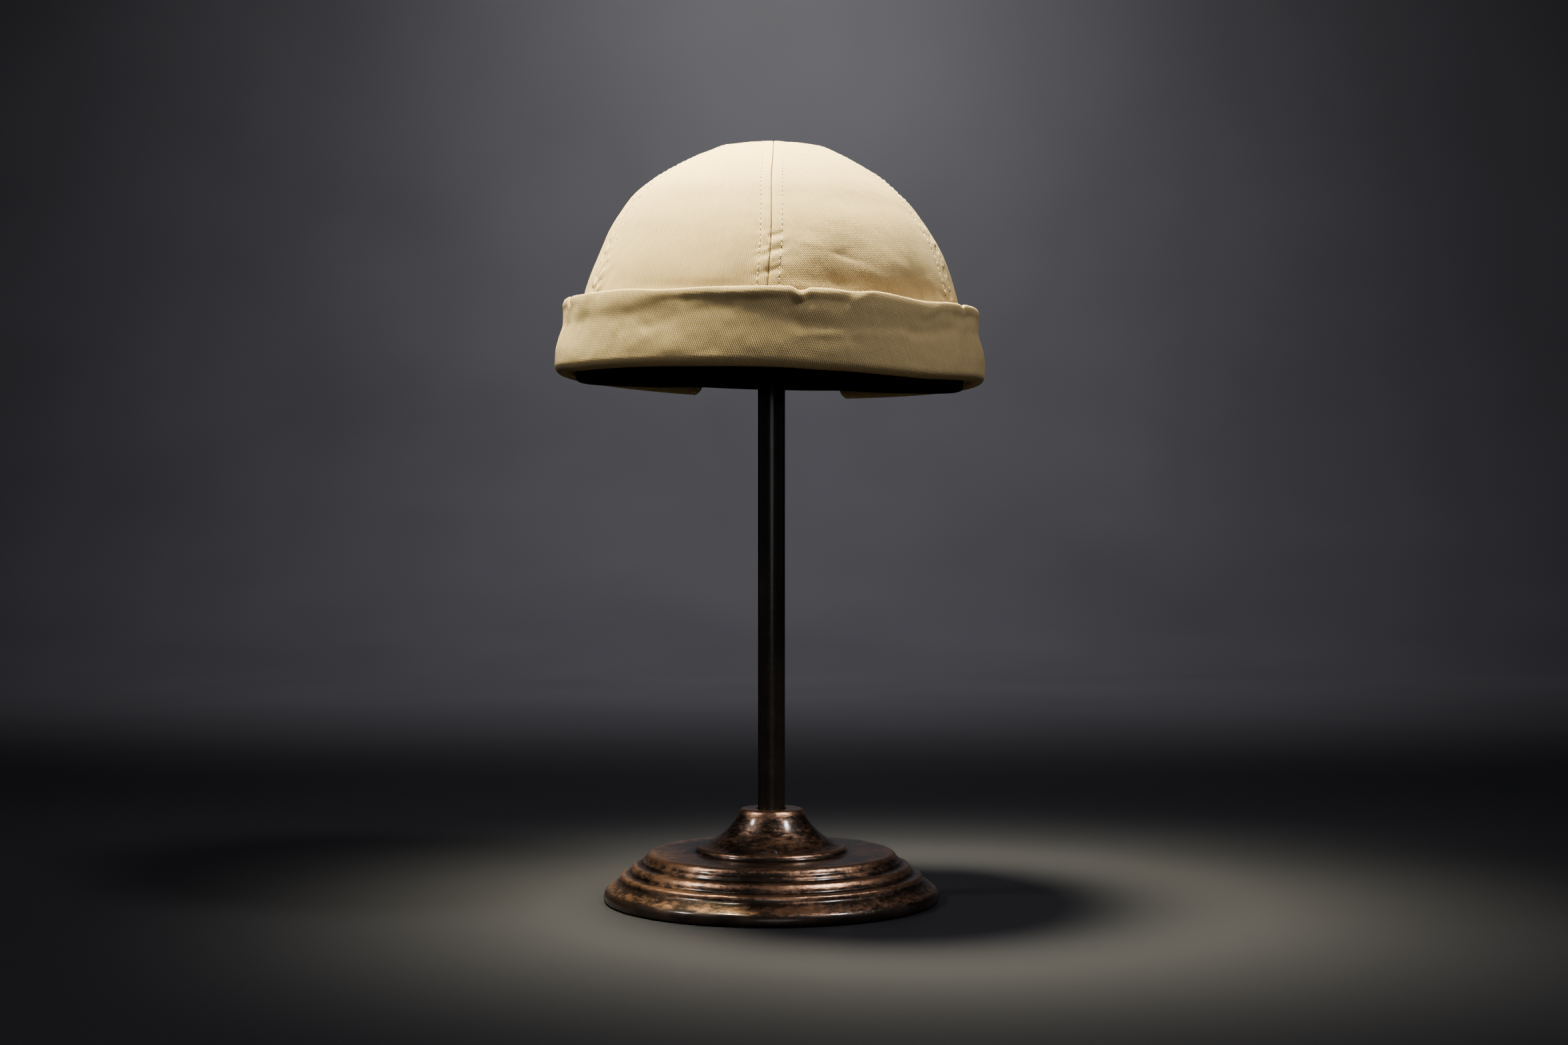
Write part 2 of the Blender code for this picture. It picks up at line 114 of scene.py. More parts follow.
# Folds pressed into the cuff's wall: azimuth, share of the height, half-width in degrees,
# half-height as a share, lean in shares per degree, depth as a share of FOLD_DEPTH
CUFF_FOLDS = (
    (-31, 0.74, 9, 0.13, 0.011, 0.55), (-19, 0.90, 9, 0.10, 0.004, 0.50),
    (-29, 0.55, 8, 0.12, 0.010, -0.20), (8, 0.86, 3, 0.20, 0.000, 0.35),
    (26, 0.90, 5, 0.14, 0.000, -0.25), (35, 0.62, 12, 0.12, 0.016, 0.35),
    (58, 0.88, 6, 0.20, 0.000, 0.35), (-64, 0.45, 12, 0.25, 0.000, 0.25),
    (-104, 0.60, 14, 0.22, 0.004, 0.40), (-140, 0.70, 12, 0.20, -0.006, 0.35),
    (98, 0.55, 14, 0.22, -0.005, 0.40), (136, 0.72, 12, 0.20, 0.005, 0.35),
)

# Soft hollows and swells of the crown, read as the cuff's, with the share of the depth below the top
CROWN_FOLDS = (
    (22, 0.55, 8, 0.10, 0.002, 0.35), (15, 0.67, 13, 0.05, 0.000, 0.40),
    (38, 0.63, 7, 0.05, 0.000, -0.25), (55, 0.66, 8, 0.07, 0.003, 0.45),
    (30, 0.30, 20, 0.08, 0.000, 0.20), (-78, 0.05, 42, 0.07, 0.000, -0.48),
    (-80, 0.22, 40, 0.10, 0.000, -0.20), (80, 0.14, 40, 0.10, 0.000, 0.20),
    (-30, 0.62, 14, 0.06, 0.000, 0.20), (-100, 0.45, 16, 0.14, 0.000, 0.30),
    (105, 0.50, 16, 0.14, 0.000, 0.35), (-150, 0.60, 14, 0.12, 0.000, 0.30),
    (150, 0.42, 16, 0.14, 0.000, 0.30),
)

# How much of the soft hollows the fine cloth shows, where it also has creases of its own
CROWN_FOLD_SHARE, CUFF_FOLD_SHARE, CREASE_FADE = 0.3, 0.2, 4 * MM

# Creases along short straight lines. Azimuth and share at each end, half-width and depth in
# millimetres, where a negative depth is a ridge. Shares are of the crown's depth below its top
CROWN_CREASES = (
    (-0.4, 0.489, 2.9, 0.477, 1.2, 0.45), (-0.5, 0.554, 2.9, 0.542, 1.2, 0.42),
    (-0.7, 0.638, 2.3, 0.622, 1.3, 0.48), (-0.5, 0.520, 2.9, 0.508, 1.0, -0.12),
    (-0.7, 0.592, 2.6, 0.580, 1.3, -0.14), (-4.2, 0.542, -1.1, 0.529, 1.2, 0.22),
    (-4.4, 0.576, -1.3, 0.566, 1.0, 0.18), (-4.1, 0.653, -1.4, 0.640, 1.2, 0.22),
    (-4.3, 0.610, -1.2, 0.598, 1.4, -0.10), (-4.0, 0.470, -1.0, 0.460, 1.2, 0.10),
    (13.7, 0.602, 19.5, 0.660, 2.4, 0.32), (18.6, 0.664, 21.5, 0.674, 2.0, 0.30),
    (5.0, 0.722, 16.0, 0.722, 1.6, 0.60), (22.0, 0.725, 46.0, 0.715, 13.0, 2.30),
    (19.6, 0.544, 26.3, 0.569, 0.9, 0.20),
    (20.8, 0.544, 24.4, 0.519, 0.8, 0.16), (22.2, 0.545, 23.6, 0.549, 1.7, 0.22),
    (11.6, 0.277, 10.0, 0.458, 3.0, 0.16), (8.1, 0.507, 15.3, 0.522, 1.6, -0.14),
    (24.0, 0.450, 25.0, 0.640, 7.0, 0.42), (27.0, 0.600, 36.0, 0.640, 2.5, -0.20),
    (46.0, 0.625, 52.0, 0.695, 2.2, 0.50), (55.0, 0.610, 60.0, 0.690, 1.7, -0.35),
    (39.0, 0.559, 44.7, 0.584, 3.0, -0.25), (-40.0, 0.690, -8.0, 0.700, 2.6, 0.20),
    (-10.3, 0.429, -10.0, 0.441, 0.35, 0.14), (-56.0, 0.600, -60.0, 0.680, 2.0, 0.25),
)

# Shares here are of the cuff's height above its fold
CUFF_CREASES = (
    (-33.0, 0.50, -25.5, 0.62, 3.6, 0.40), (-19.5, 0.71, -10.0, 0.75, 4.2, 0.46),
    (-40.0, 0.45, -32.0, 0.50, 3.2, 0.15), (-58.0, 0.82, -32.0, 0.84, 4.8, -0.26),
    (-5.0, 0.71, 5.0, 0.64, 3.8, 0.48), (-24.0, 0.54, 10.0, 0.49, 6.0, 0.20),
    (-62.0, 0.64, -40.0, 0.66, 3.8, 0.22),
    (-27.0, 0.80, -23.0, 0.84, 2.0, -0.12),
    (-71.0, 1.00, -69.0, 0.90, 0.9, 0.70), (6.5, 1.00, 8.3, 0.89, 1.2, -0.55),
    (9.0, 0.86, 4.5, 0.74, 2.2, 0.50), (5.0, 0.58, 14.0, 0.54, 3.4, 0.55),
    (-4.0, 0.84, 4.0, 0.84, 3.0, 0.25), (10.5, 0.86, 19.0, 0.84, 2.6, 0.30),
    (21.6, 0.86, 26.0, 0.99, 2.0, -0.40), (17.0, 0.80, 19.5, 0.92, 2.2, 0.30),
    (17.0, 0.53, 39.0, 0.55, 3.0, 0.18), (39.0, 0.56, 57.0, 0.66, 3.0, 0.55),
    (8.0, 0.41, 18.0, 0.44, 1.7, -0.25),
    (22.0, 0.45, 36.0, 0.50, 2.2, -0.25), (43.0, 0.81, 48.5, 0.90, 1.7, -0.30),
    (57.0, 0.80, 70.0, 0.86, 3.0, 0.45), (62.0, 1.00, 63.0, 0.92, 0.9, 0.50),
    (20.0, 0.79, 46.0, 0.86, 3.2, -0.28), (-100.0, 0.75, -84.0, 0.68, 2.6, 0.40),
    (-122.0, 0.60, -112.0, 0.72, 2.2, 0.35), (-150.0, 0.78, -138.0, 0.70, 2.4, 0.40),
    (82.0, 0.66, 96.0, 0.74, 2.6, 0.40), (112.0, 0.76, 124.0, 0.64, 2.2, 0.35),
    (134.0, 0.68, 148.0, 0.80, 2.4, 0.40),
)
CROWN_MM_PER_DEGREE, CUFF_MM_PER_DEGREE = 1.45, 1.72

# Rolled top edge of the cuff: how far it stands out, how far below the top, and its half-height
LIP_RISE, LIP_LEVEL, LIP_SPAN = 0.85 * MM, 2.6 * MM, 1.9 * MM
LIP_ROLL = (
    (-180, 0.4), (-80, 0.5), (-60, 0.15), (-34, 0.10), (-18, 0.75), (-4, 1.00), (14, 0.80), (24, 0.35),
    (50, 0.50), (64, 0.60), (90, 0.50), (180, 0.4),
)

# Panels of the crown: name, azimuths of the first and the last seam, and the slant of the twill's
# ribs on the flat panel, in degrees from across
PANELS = (
    ("front_right", 0, 66, 124),
    ("side_right", 66, 122, 112),
    ("back_right", 122, 180, 97),
    ("back_left", 180, 238, 132),
    ("side_left", 238, 294, 112),
    ("front_left", 294, 360, 96),
)
CUFF_RIB_SLANT, STRAP_RIB_SLANT = 113, 60

# Share of the cuff's height above which its wall is spread evenly between its two edges
CUFF_EVEN_FROM = 0.2

# Lengths of the cuff's wall and leg, and radii at which the turned pieces are laid out flat
CUFF_WALL_LENGTH, CUFF_LEG_LENGTH = CUFF_HEIGHT - CUFF_FOLD / 2, CUFF_LEG - CUFF_FOLD / 2
CUFF_RADIUS, BAND_RADIUS, STRAP_RADIUS = 0.097, 0.093, 0.0975

# Half of the angle that the strap spans, its length and its ease
STRAP_REACH = math.asin((BACK_OPENING / 2 + STRAP_TUCK) / (CROWN_WIDTH / 2))
STRAP_LENGTH, STRAP_EASE = 2 * STRAP_REACH * STRAP_RADIUS, 4 * MM

# Sewing
STITCH_PITCH, STITCH_LENGTH, STITCH_OFFSET = 2.8 * MM, 2.0 * MM, 4.6 * MM
STITCH_WANDER, STITCHED_FROM = 0.12 * MM, 12 * MM
STITCHES = {"Pitch": STITCH_PITCH, "Length": STITCH_LENGTH, "Thread": 0.5 * MM, "Looseness": 0.1}
# Small dark marks between the stitches: painted shade in the needle holes
HOLE_SHADES = {
    "Pitch": STITCH_PITCH, "Length": 0.7 * MM, "Thread": 0.42 * MM,
    "Shift": STITCH_PITCH / 2, "Lift": -0.1 * MM,
}
STRAP_STITCH_OFFSET, STRAP_GROOVE_WIDTH, STRAP_GROOVE_DEPTH = 2.2 * MM, 0.6 * MM, 0.2 * MM

# Relief beside a seam: the fell, the groove that the stitches pull in, the puckers, and the depth of the
# painted seam shade
FELL_RISE, FELL_START, FELL_STEP, FELL_END = 0.16 * MM, 0.2 * MM, 0.6 * MM, 1.4 * MM
GROOVE_DEPTH, GROOVE_WIDTH, GROOVE_BEAT = 0.16 * MM, 0.55 * MM, 0.2
PUCKER_DEPTH, PUCKER_LENGTH, PUCKER_START, PUCKER_REACH = 0.2 * MM, 7.5 * MM, 1.5 * MM, 7.5 * MM
FRONT_PUCKERS, SIDE_PUCKERS, PUCKER_SLANT = 0.3, 0.9, 0.45
FEWEST_PUCKERS, PUCKERS_FROM, PUCKERS_GROW = 0.25, 0.3, 0.35
SEAM_ROUND, SEAM_SHADE, SEAM_HOLDS = 0.28 * MM, 0.35 * MM, 6 * MM
RELIEF_UNDER_STRAP, HIGHEST_RELIEF, STRAP_FADE = 0.1 * MM, 1.0 * MM, 4 * MM

# Unevenness of the cloth: height, size and seed of each set of waves
GORE_RIPPLES = ((0.14 * MM, 26 * MM, 7), (0.04 * MM, 8 * MM, 8))
CUFF_RIPPLES = ((0.12 * MM, 20 * MM, 17), (0.04 * MM, 8 * MM, 18))
STRAP_RIPPLES = ((0.05 * MM, 9 * MM, 33),)

# The front seam leans to the wearer's right by this many degrees, fully from this share of the panel
FRONT_SEAM_LEAN, FRONT_SEAM_LEANS_BY = 1.6, 0.4

# Columns of a gore beside each seam, in millimetres from it, and how many run between them
SEAM_COLUMNS = (0.02, 0.06, 0.14, 0.28, 0.6, 1.2, 1.8, 2.5, 3.2, 3.8, 4.2, 4.6, 5.0, 5.4, 6.0, 7.0, 8.5, 10.5)
OPEN_COLUMNS = 30

# Rows of a gore, and the last ones at its foot, in millimetres from the rim
GORE_ROWS, GORE_FOOT, GORE_FOOT_ROWS = 212, 1.2 * MM, (0.75, 0.4, 0.15, 0.03, 0)

# Rows and columns of the cuff, the sweatband and the strap, those at an edge in millimetres from it
CUFF_LIP_ROWS = (0, 0.06, 0.2, 0.45, 0.8, 1.1, 1.5, 2.0, 2.6, 3.3)
CUFF_LEG_ROWS = (5, 3.2, 2, 1.1, 0.8, 0.45, 0.2, 0.06, 0)
CUFF_SIDE_COLUMNS = (0, 0.06, 0.2, 0.45, 0.8, 1.1, 1.6, 2.3)
CUFF_COLUMNS, CUFF_WALL_ROWS, CUFF_FOLD_ROWS = 464, 34, 15
BAND_EDGE_ROWS, BAND_ROWS, BAND_COLUMNS = (0, 0.04, 0.12, 0.3, 0.6, 1.0), 24, 421
STRAP_EDGE_ROWS = (0, 0.05, 0.2, 0.45, 0.8, 1.2, 1.7, 2.2, 2.7, 3.2)
STRAP_ROWS, STRAP_COLUMNS = 14, 96

# Sides of the stand's turned solids, and how their corners are eased and read as worn
BASE_SIDES, POLE_SIDES, SEAT_SIDES, POLE_SPACING = 192, 64, 96, 1.5 * MM
CORNER_PASSES, WIDE_PASSES, WORN_EDGE = 3, 40, 0.25 * MM

# Height above which the base is rubbed as elsewhere, and below which it is clean
FOOT_CLEAN_TO, FOOT_CLEAN = 6.5 * MM, 3.5 * MM

# How far the twill's ribs stray, and its colours: darkest, which also serves as painted shade in furrows and
# seams, palest, the ribs' pitch and their depth
RIB_DRIFT = 0.9 * MM
TWILLS = {
    "khaki_twill": ((0.30, 0.218, 0.122), (0.76, 0.59, 0.345), 0.8 * MM, 0.11 * MM),
    "strap_twill": ((0.28, 0.19, 0.1), (0.66, 0.51, 0.32), 0.65 * MM, 0.16 * MM),
}

# Lacquers: amount rubbed through, more of it on edges, metal in the lacquer, dark, brown and copper
LACQUERS = {
    "rubbed_bronze": (0.45, 0.1, 0.5, (0.035, 0.025, 0.02), (0.12, 0.078, 0.058), (0.7, 0.42, 0.28)),
    "dark_bronze": (0.22, 0.2, 0.1, (0.04, 0.032, 0.024), (0.07, 0.055, 0.04), (0.2, 0.13, 0.09)),
}

# Other colours
# The band's black, and the paler colour of the painted sheen on its raised yarns
BAND_BLACK, BAND_SHEEN = (0.006, 0.0055, 0.005), (0.06, 0.056, 0.05)
THREAD_SHADE, THREAD_CREAM = (0.66, 0.57, 0.42), (0.92, 0.85, 0.70)
# Painted shade in the needle holes
HOLE_SHADE_DARK, HOLE_SHADE_PALE = (0.12, 0.08, 0.04), (0.24, 0.17, 0.095)
FLOOR_DARK, FLOOR_PALE = (0.05, 0.049, 0.055), (0.07, 0.068, 0.076)

# Seamless floor: how far it reaches, where it starts to bend up behind the stand, the bend's radius
FLOOR_REACH, FLOOR_BACK, FLOOR_BEND = 6.0, 1.6, 1.2

# Lights: name, place, what it faces, width, power in watts, spread in degrees, colour
WARM, NEUTRAL = (1.0, 0.965, 0.72), (1.0, 1.0, 1.0)
LIGHTS = (
    ("overhead", (-0.135, 0.014, 0.90), (0, 0, 0.3), 0.3, 1.03, 32, WARM),
    ("left_glow", (-1.15, -0.25, 1.25), (0, 0, 0.15), 0.22, 0.62, 80, NEUTRAL),
    ("right_glow", (0.90, -0.42, 1.40), (0, 0, 0.15), 0.25, 1.1, 80, NEUTRAL),
    ("front_fill", (0.1, -1.5, 0.45), (0, 0, 0.25), 0.8, 0.32, 90, NEUTRAL),
    ("backdrop_glow", (0, 1.1, 1.5), (0, 2.6, 0.3), 1.0, 22, 140, NEUTRAL),
)
SURROUNDINGS, SURROUNDINGS_STRENGTH, EXPOSURE = (0.5, 0.54, 0.6, 1), 0.15, 0.3
CAMERA_LENS, CAMERA_SHIFT, CAMERA_PLACE = 49.9, 0.01105, (0.00585, -1.0142, 0.1675)


def smooth_through(knots, values, at):
    """Smooth reading of a table that doesn't swing past its rows."""
    knots, values = np.asarray(knots, float), np.asarray(values, float)
    gaps = np.diff(knots)
    slopes = np.diff(values) / gaps
    bends = np.zeros(len(knots))
    bends[0], bends[-1] = slopes[0], slopes[-1]
    before, after = slopes[:-1], slopes[1:]
    steady = before * after > 0
    bends[1:-1][steady] = 2 * before[steady] * after[steady] / (before[steady] + after[steady])
    at = np.clip(at, knots[0], knots[-1])
    row = np.clip(np.searchsorted(knots, at, side="right") - 1, 0, len(gaps) - 1)
    t = (at - knots[row]) / gaps[row]
    start = values[row] * (1 + 2 * t) * (1 - t) ** 2 + bends[row] * gaps[row] * t * (1 - t) ** 2
    end = values[row + 1] * t**2 * (3 - 2 * t) + bends[row + 1] * gaps[row] * t**2 * (t - 1)
    return start + end


def read_along(table, index, at):
    """Smooth reading of a table's column against its first column."""
    return smooth_through([row[0] for row in table], [row[index] for row in table], at)


def eased(share):
    """Smooth step from 0 to 1."""
    share = np.clip(share, 0, 1)
    return share * share * (3 - 2 * share)


def between(low, high, share):
    """Value this share of the way from low to high."""
    return low + (high - low) * share


def rounded(distance, radius):
    """Share of a wall's thickness at this distance from an edge that is rounded off."""
    return np.sqrt(1 - (1 - np.clip(distance / radius, 0, 1)) ** 2)


def ripple(points, size, seed, waves=18):
    """Gentle waves of about this size at points in any number of dimensions, mostly from -1 to 1."""
    draw = np.random.default_rng(seed)
    points = np.asarray(points, float)
    heading = draw.normal(size=(waves, points.shape[-1]))
    heading /= np.linalg.norm(heading, axis=1, keepdims=True)
    turns = math.tau / size * draw.uniform(0.7, 1.4, waves)
    shift = draw.uniform(0, math.tau, waves)
    total = np.zeros(points.shape[:-1])
    for along, turn, start in zip(heading, turns, shift):
        total += np.cos(points @ along * turn + start)
    return total / math.sqrt(waves)


def uneven(points, ripples):
    """Unevenness of cloth at points, from several sets of waves."""
    return sum(height * ripple(points, size, seed) for height, size, seed in ripples)


def rows_across(width, edge_rows, count):
    """Places across a strip of cloth, close together at both edges."""
    edge = np.array(edge_rows) * MM
    middle = np.linspace(edge[-1], width - edge[-1], count)[1:-1]
    return np.concatenate([edge, middle, (width - edge)[::-1]])


def pressed(azimuth, height_share, folds):
    """How far the folds press the cloth in at an azimuth in degrees and a share of the height."""
    depth = np.zeros(np.broadcast(azimuth, height_share).shape)
    for centre, level, half_width, half_height, lean, share in folds:
        along = (azimuth - centre + 180) % 360 - 180
        up = height_share - level - lean * along
        depth += share * np.exp(-((along / half_width) ** 2) - (up / half_height) ** 2)
    return depth * FOLD_DEPTH


def creased(azimuth, share, creases, per_degree, per_share):
    """How far creases press the cloth in, with lengths in millimetres per degree and per share."""
    depth = np.zeros(np.broadcast(azimuth, share).shape)
    for from_azimuth, from_share, to_azimuth, to_share, half_width, pressed_in in creases:
        across = (azimuth - from_azimuth + 180) % 360 - 180
        run = np.array(((to_azimuth - from_azimuth) * per_degree, (to_share - from_share) * per_share))
        x, y = across * per_degree, (share - from_share) * per_share
        along = np.clip((x * run[0] + y * run[1]) / (run @ run), 0, 1)
        away = np.hypot(x - along * run[0], y - along * run[1])
        depth += pressed_in * np.exp(-((away / half_width) ** 2))
    return depth * MM


def hang(points):
    """Tip the cap to one side about the seat, level on the seat itself, and let its lower part sway."""
    x, y, z = points[..., 0], points[..., 1], points[..., 2] - CAP_TOP
    down = -z / CROWN_DEPTH
    tilt = CAP_TILT * eased(down / TILT_FULL)
    sway = CAP_SWAY * eased((down - SWAY_FROM) / (SWAY_FULL - SWAY_FROM))
    across = x * np.cos(tilt) + z * np.sin(tilt) + sway
    return np.stack([across, y, z * np.cos(tilt) - x * np.sin(tilt) + CAP_TOP], -1)


def crown_profile():
    """The crown's outline against the length down a panel from the middle of the top."""
    flat = SEAT_RADIUS - SEAT_EDGE_ROUND
    bend = SEAT_EDGE_ROUND + CLEARANCE + CLOTH
    edge = flat + bend * math.sin(SHOULDER_SLOPE)
    edge_height = CAP_TOP - bend * (1 - math.cos(SHOULDER_SLOPE))
    rows = [(out, out, CAP_TOP) for out in (0.0, flat / 2, flat)]
    rows.append((edge, edge, edge_height))
    for out, down in CROWN_OUTLINE:
        half_width = between(edge, CROWN_WIDTH / 2, out)
        half_length = between(edge, CROWN_LENGTH / 2, out)
        rows.append((half_width, half_length, between(edge_height, RIM_HEIGHT, down)))
    rows = np.array(rows)
    middle = np.stack([(rows[:, 0] + rows[:, 1]) / 2, rows[:, 2]], 1)
    lengths = np.concatenate([[0], np.cumsum(np.linalg.norm(np.diff(middle, axis=0), axis=1))])
    fine = np.linspace(0, lengths[-1], 3001)
    return fine, [smooth_through(lengths, rows[:, i], fine) for i in range(3)], edge_height


CROWN_DOWN, (CROWN_HALF_WIDTH, CROWN_HALF_LENGTH, CROWN_HEIGHT), SEAT_EDGE_HEIGHT = crown_profile()
PANEL_LENGTH = CROWN_DOWN[-1]


def crown_size(down):
    """Half-width, half-length and height of the crown this far down a panel."""
    outlines = (CROWN_HALF_WIDTH, CROWN_HALF_LENGTH, CROWN_HEIGHT)
    return [np.interp(down, CROWN_DOWN, values) for values in outlines]


def crown_down_at(height):
    """How far down a panel the crown has this height."""
    return np.interp(-np.asarray(height), -CROWN_HEIGHT, CROWN_DOWN)


def back_share(angle, start, full):
    """Share from 0 before the first angle to 1 past the second, on either side of the front."""
    from_front = np.abs((angle + math.pi) % math.tau - math.pi)
    return eased((from_front - start) / (full - start))


def crown_skin(angle, down):
    """Point of the crown's outer skin, before it is tipped."""
    half_width, half_length, height = crown_size(down)
    rise = RIM_RISE * back_share(angle, RIM_RISE_FROM, RIM_RISE_FULL)
    height = height + rise * eased(1 - (height - RIM_HEIGHT) / RIM_RISE_REACH)
    return np.stack([half_width * np.sin(angle), -half_length * np.cos(angle), height], -1)


def crown_outward(angle, down, step=0.6 * MM):
    """Direction straight out of the crown's cloth."""
    below, above = np.minimum(down + step, PANEL_LENGTH), np.maximum(down - step, 0)
    downhill = crown_skin(angle, below) - crown_skin(angle, above)
    half_width, half_length, _ = crown_size(np.maximum(down, step))
    around = np.stack([half_width * np.cos(angle), half_length * np.sin(angle), 0 * angle * down], -1)
    outward = np.cross(downhill, around)
    return outward / np.linalg.norm(outward, axis=-1, keepdims=True)


def crown_dent(angle, height):
    """How far the crown's hollows and creases press its cloth in."""
    above_band = height - RIM_HEIGHT - SWEATBAND_HEIGHT
    azimuth, share = np.degrees(angle), (CAP_TOP - height) / CROWN_DEPTH
    soft = CROWN_FOLD_SHARE * pressed(azimuth, share, CROWN_FOLDS)
    fine = creased(azimuth, share, CROWN_CREASES, CROWN_MM_PER_DEGREE, CROWN_DEPTH / MM)
    dent = eased(above_band / BAND_FADE) * soft + eased(above_band / CREASE_FADE) * fine
    return eased((SEAT_EDGE_HEIGHT - height) / SEAT_FADE) * dent


def crown_pace(angle, down):
    """Length along the crown for each radian of angle, at this angle."""
    half_width, half_length, _ = crown_size(down)
    return np.hypot(half_width * np.cos(angle), half_length * np.sin(angle))


def seam_angle(azimuth, down):
    """Angle of a seam, which twists a little from the rim up to the top. The front one also leans."""
    lean = 0
    if azimuth % 360 == 0:
        lean = FRONT_SEAM_LEAN * eased(down / (FRONT_SEAM_LEANS_BY * PANEL_LENGTH))
    depth = (CAP_TOP - crown_size(down)[2]) / CROWN_DEPTH
    return np.radians(azimuth - lean) + SEAM_TWIST * (1 - depth)


def seam_relief(distance, down, seed, puckers):
    """How far the cloth stands up beside a sewn seam: the fell, the stitch groove and the puckers."""
    fell = FELL_RISE * eased((distance - FELL_START) / FELL_STEP)
    fell = fell * (1 - eased((distance - STITCH_OFFSET) / FELL_END))
    beat = 1 - GROOVE_BEAT + GROOVE_BEAT * np.cos(math.tau * down / STITCH_PITCH)
    groove = GROOVE_DEPTH * beat * np.exp(-(((distance - STITCH_OFFSET) / GROOVE_WIDTH) ** 2))
    slanted = np.stack([down + PUCKER_SLANT * distance], -1)
    reach = eased(distance / PUCKER_START) * np.exp(-((distance / PUCKER_REACH) ** 3))
    low = between(FEWEST_PUCKERS, 1.0, eased((down / PANEL_LENGTH - PUCKERS_FROM) / PUCKERS_GROW))
    pucker = puckers * PUCKER_DEPTH * low * reach * ripple(slanted, PUCKER_LENGTH, seed, waves=7)
    return fell - groove + pucker


def gore_cloth(seams, angle, down, seed):
    """A gore's outer and inner face where it has this angle and is this far down, and the outer relief less a
    painted shade line along the seams.
    """
    first, last = seam_angle(seams[0], down), seam_angle(seams[1], down)
    to_first = (angle - first) * crown_pace(first, down)
    to_last = (last - angle) * crown_pace(last, down)
    nearest = np.maximum(np.minimum(to_first, to_last), 0)
    full = rounded(nearest - SEAM_COLUMNS[0] * MM, SEAM_ROUND) * rounded(PANEL_LENGTH - down, CLOTH / 2)
    height = crown_size(down)[2] + 0 * angle
    skin = crown_skin(angle, down)
    outward = crown_outward(angle, down)
    above_band = height - RIM_HEIGHT - SWEATBAND_HEIGHT
    loose = eased(above_band / BAND_FADE) * eased(nearest / SEAM_HOLDS)
    calm = [FRONT_PUCKERS if seam % 360 == 0 else SIDE_PUCKERS for seam in seams]
    sewn = seam_relief(to_first, down, seed, calm[0]) + seam_relief(to_last, down, seed + 50, calm[1])
    relief = sewn + loose * uneven(skin, GORE_RIPPLES)
    highest = between(RELIEF_UNDER_STRAP, HIGHEST_RELIEF, eased(above_band / STRAP_FADE))
    relief = np.minimum(relief, highest)
    middle = CLOTH / 2 + crown_dent(angle, height)
    outer = skin - outward * (middle - full * (CLOTH / 2 + relief))[..., None]
    inner = skin - outward * (middle + full * CLOTH / 2)[..., None]
    # A dark line along each seam where the panels meet: painted shade, carried in the relief
    painted_seam_line = SEAM_SHADE * np.exp(-((nearest / SEAM_ROUND) ** 2))
    return hang(outer), hang(inner), sewn * full - painted_seam_line


def make_shell(name, outer, inner, pattern, relief, finish):
    """A closed wall of cloth from its outer and inner grids, whose borders meet.

    pattern is each point's place on the flat cloth in metres, relief how far it stands up in metres, which
    the material turns into painted shade where it is sunk and paler rubbed cloth where it is raised.
    """
    columns, rows = outer.shape[:2]
    corner = np.arange(columns * rows).reshape(columns, rows)
    quads = np.stack([corner[:-1, :-1], corner[:-1, 1:], corner[1:, 1:], corner[1:, :-1]], -1)
    quads = quads.reshape(-1, 4)
    faces = np.concatenate([quads, quads[:, ::-1] + corner.size])
    mesh = bpy.data.meshes.new(name)
    mesh.from_pydata(np.concatenate([outer.reshape(-1, 3), inner.reshape(-1, 3)]), [], faces.tolist())
    flat = np.concatenate([pattern.reshape(-1, 2)] * 2)
    layer = mesh.uv_layers.new(name="cloth")
    layer.data.foreach_set("uv", flat[faces.ravel()].astype(np.float32).ravel())
    raised = mesh.attributes.new("relief", "FLOAT", "POINT")
    both = np.concatenate([relief.ravel() / MM, np.zeros(corner.size)])
    raised.data.foreach_set("value", both.astype(np.float32))
    close_up(mesh)
    return add_piece(name, mesh, finish)


def close_up(mesh):
    """Join what meets, drop what has no area and turn the faces outwards."""
    shape = bmesh.new()
    shape.from_mesh(mesh)
    bmesh.ops.remove_doubles(shape, verts=shape.verts, dist=0.002 * MM)
    bmesh.ops.dissolve_degenerate(shape, edges=shape.edges, dist=0.001 * MM)
    bmesh.ops.recalc_face_normals(shape, faces=shape.faces)
    shape.to_mesh(mesh)
    shape.free()
    mesh.shade_smooth()


def add_piece(name, mesh, finish):
    """An object of this mesh and material, in the scene."""
    piece = bpy.data.objects.new(name, mesh)
    mesh.materials.append(finish)
    bpy.context.scene.collection.objects.link(piece)
    return piece


def stand_in(piece, slot, *nodes):
    """The piece rides on the part's one body and stands for its CAD node."""
    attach(piece, "root")
    if nodes:
        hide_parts(*nodes)
    return piece


def laid_on_ribs(across, along, slant):
    """Place on the flat cloth, turned so that the twill's ribs run along the second axis."""
    turn = math.radians(slant - 90)
    over_ribs = across * math.cos(turn) + along * math.sin(turn)
    down_ribs = along * math.cos(turn) - across * math.sin(turn)
    return np.stack([over_ribs, down_ribs], -1)


def gore_angles(seams, down):
    """Angles of a gore's columns at each row, close together beside the seams."""
    beside = np.array(SEAM_COLUMNS)[:, None] * MM
    first, last = seam_angle(seams[0], down), seam_angle(seams[1], down)
    room = (last - first) * np.minimum(crown_pace(first, down), crown_pace(last, down))
    squeeze = np.minimum(1, room / (2.3 * SEAM_COLUMNS[-1] * MM)) + 0 * down
    reach = np.maximum(crown_pace(first, down), 1e-7), np.maximum(crown_pace(last, down), 1e-7)
    left = first + beside * squeeze / reach[0]
    right = (last - beside * squeeze / reach[1])[::-1]
    share = np.linspace(0, 1, OPEN_COLUMNS + 2)[1:-1, None]
    return np.concatenate([left, between(left[-1], right[0], share), right])


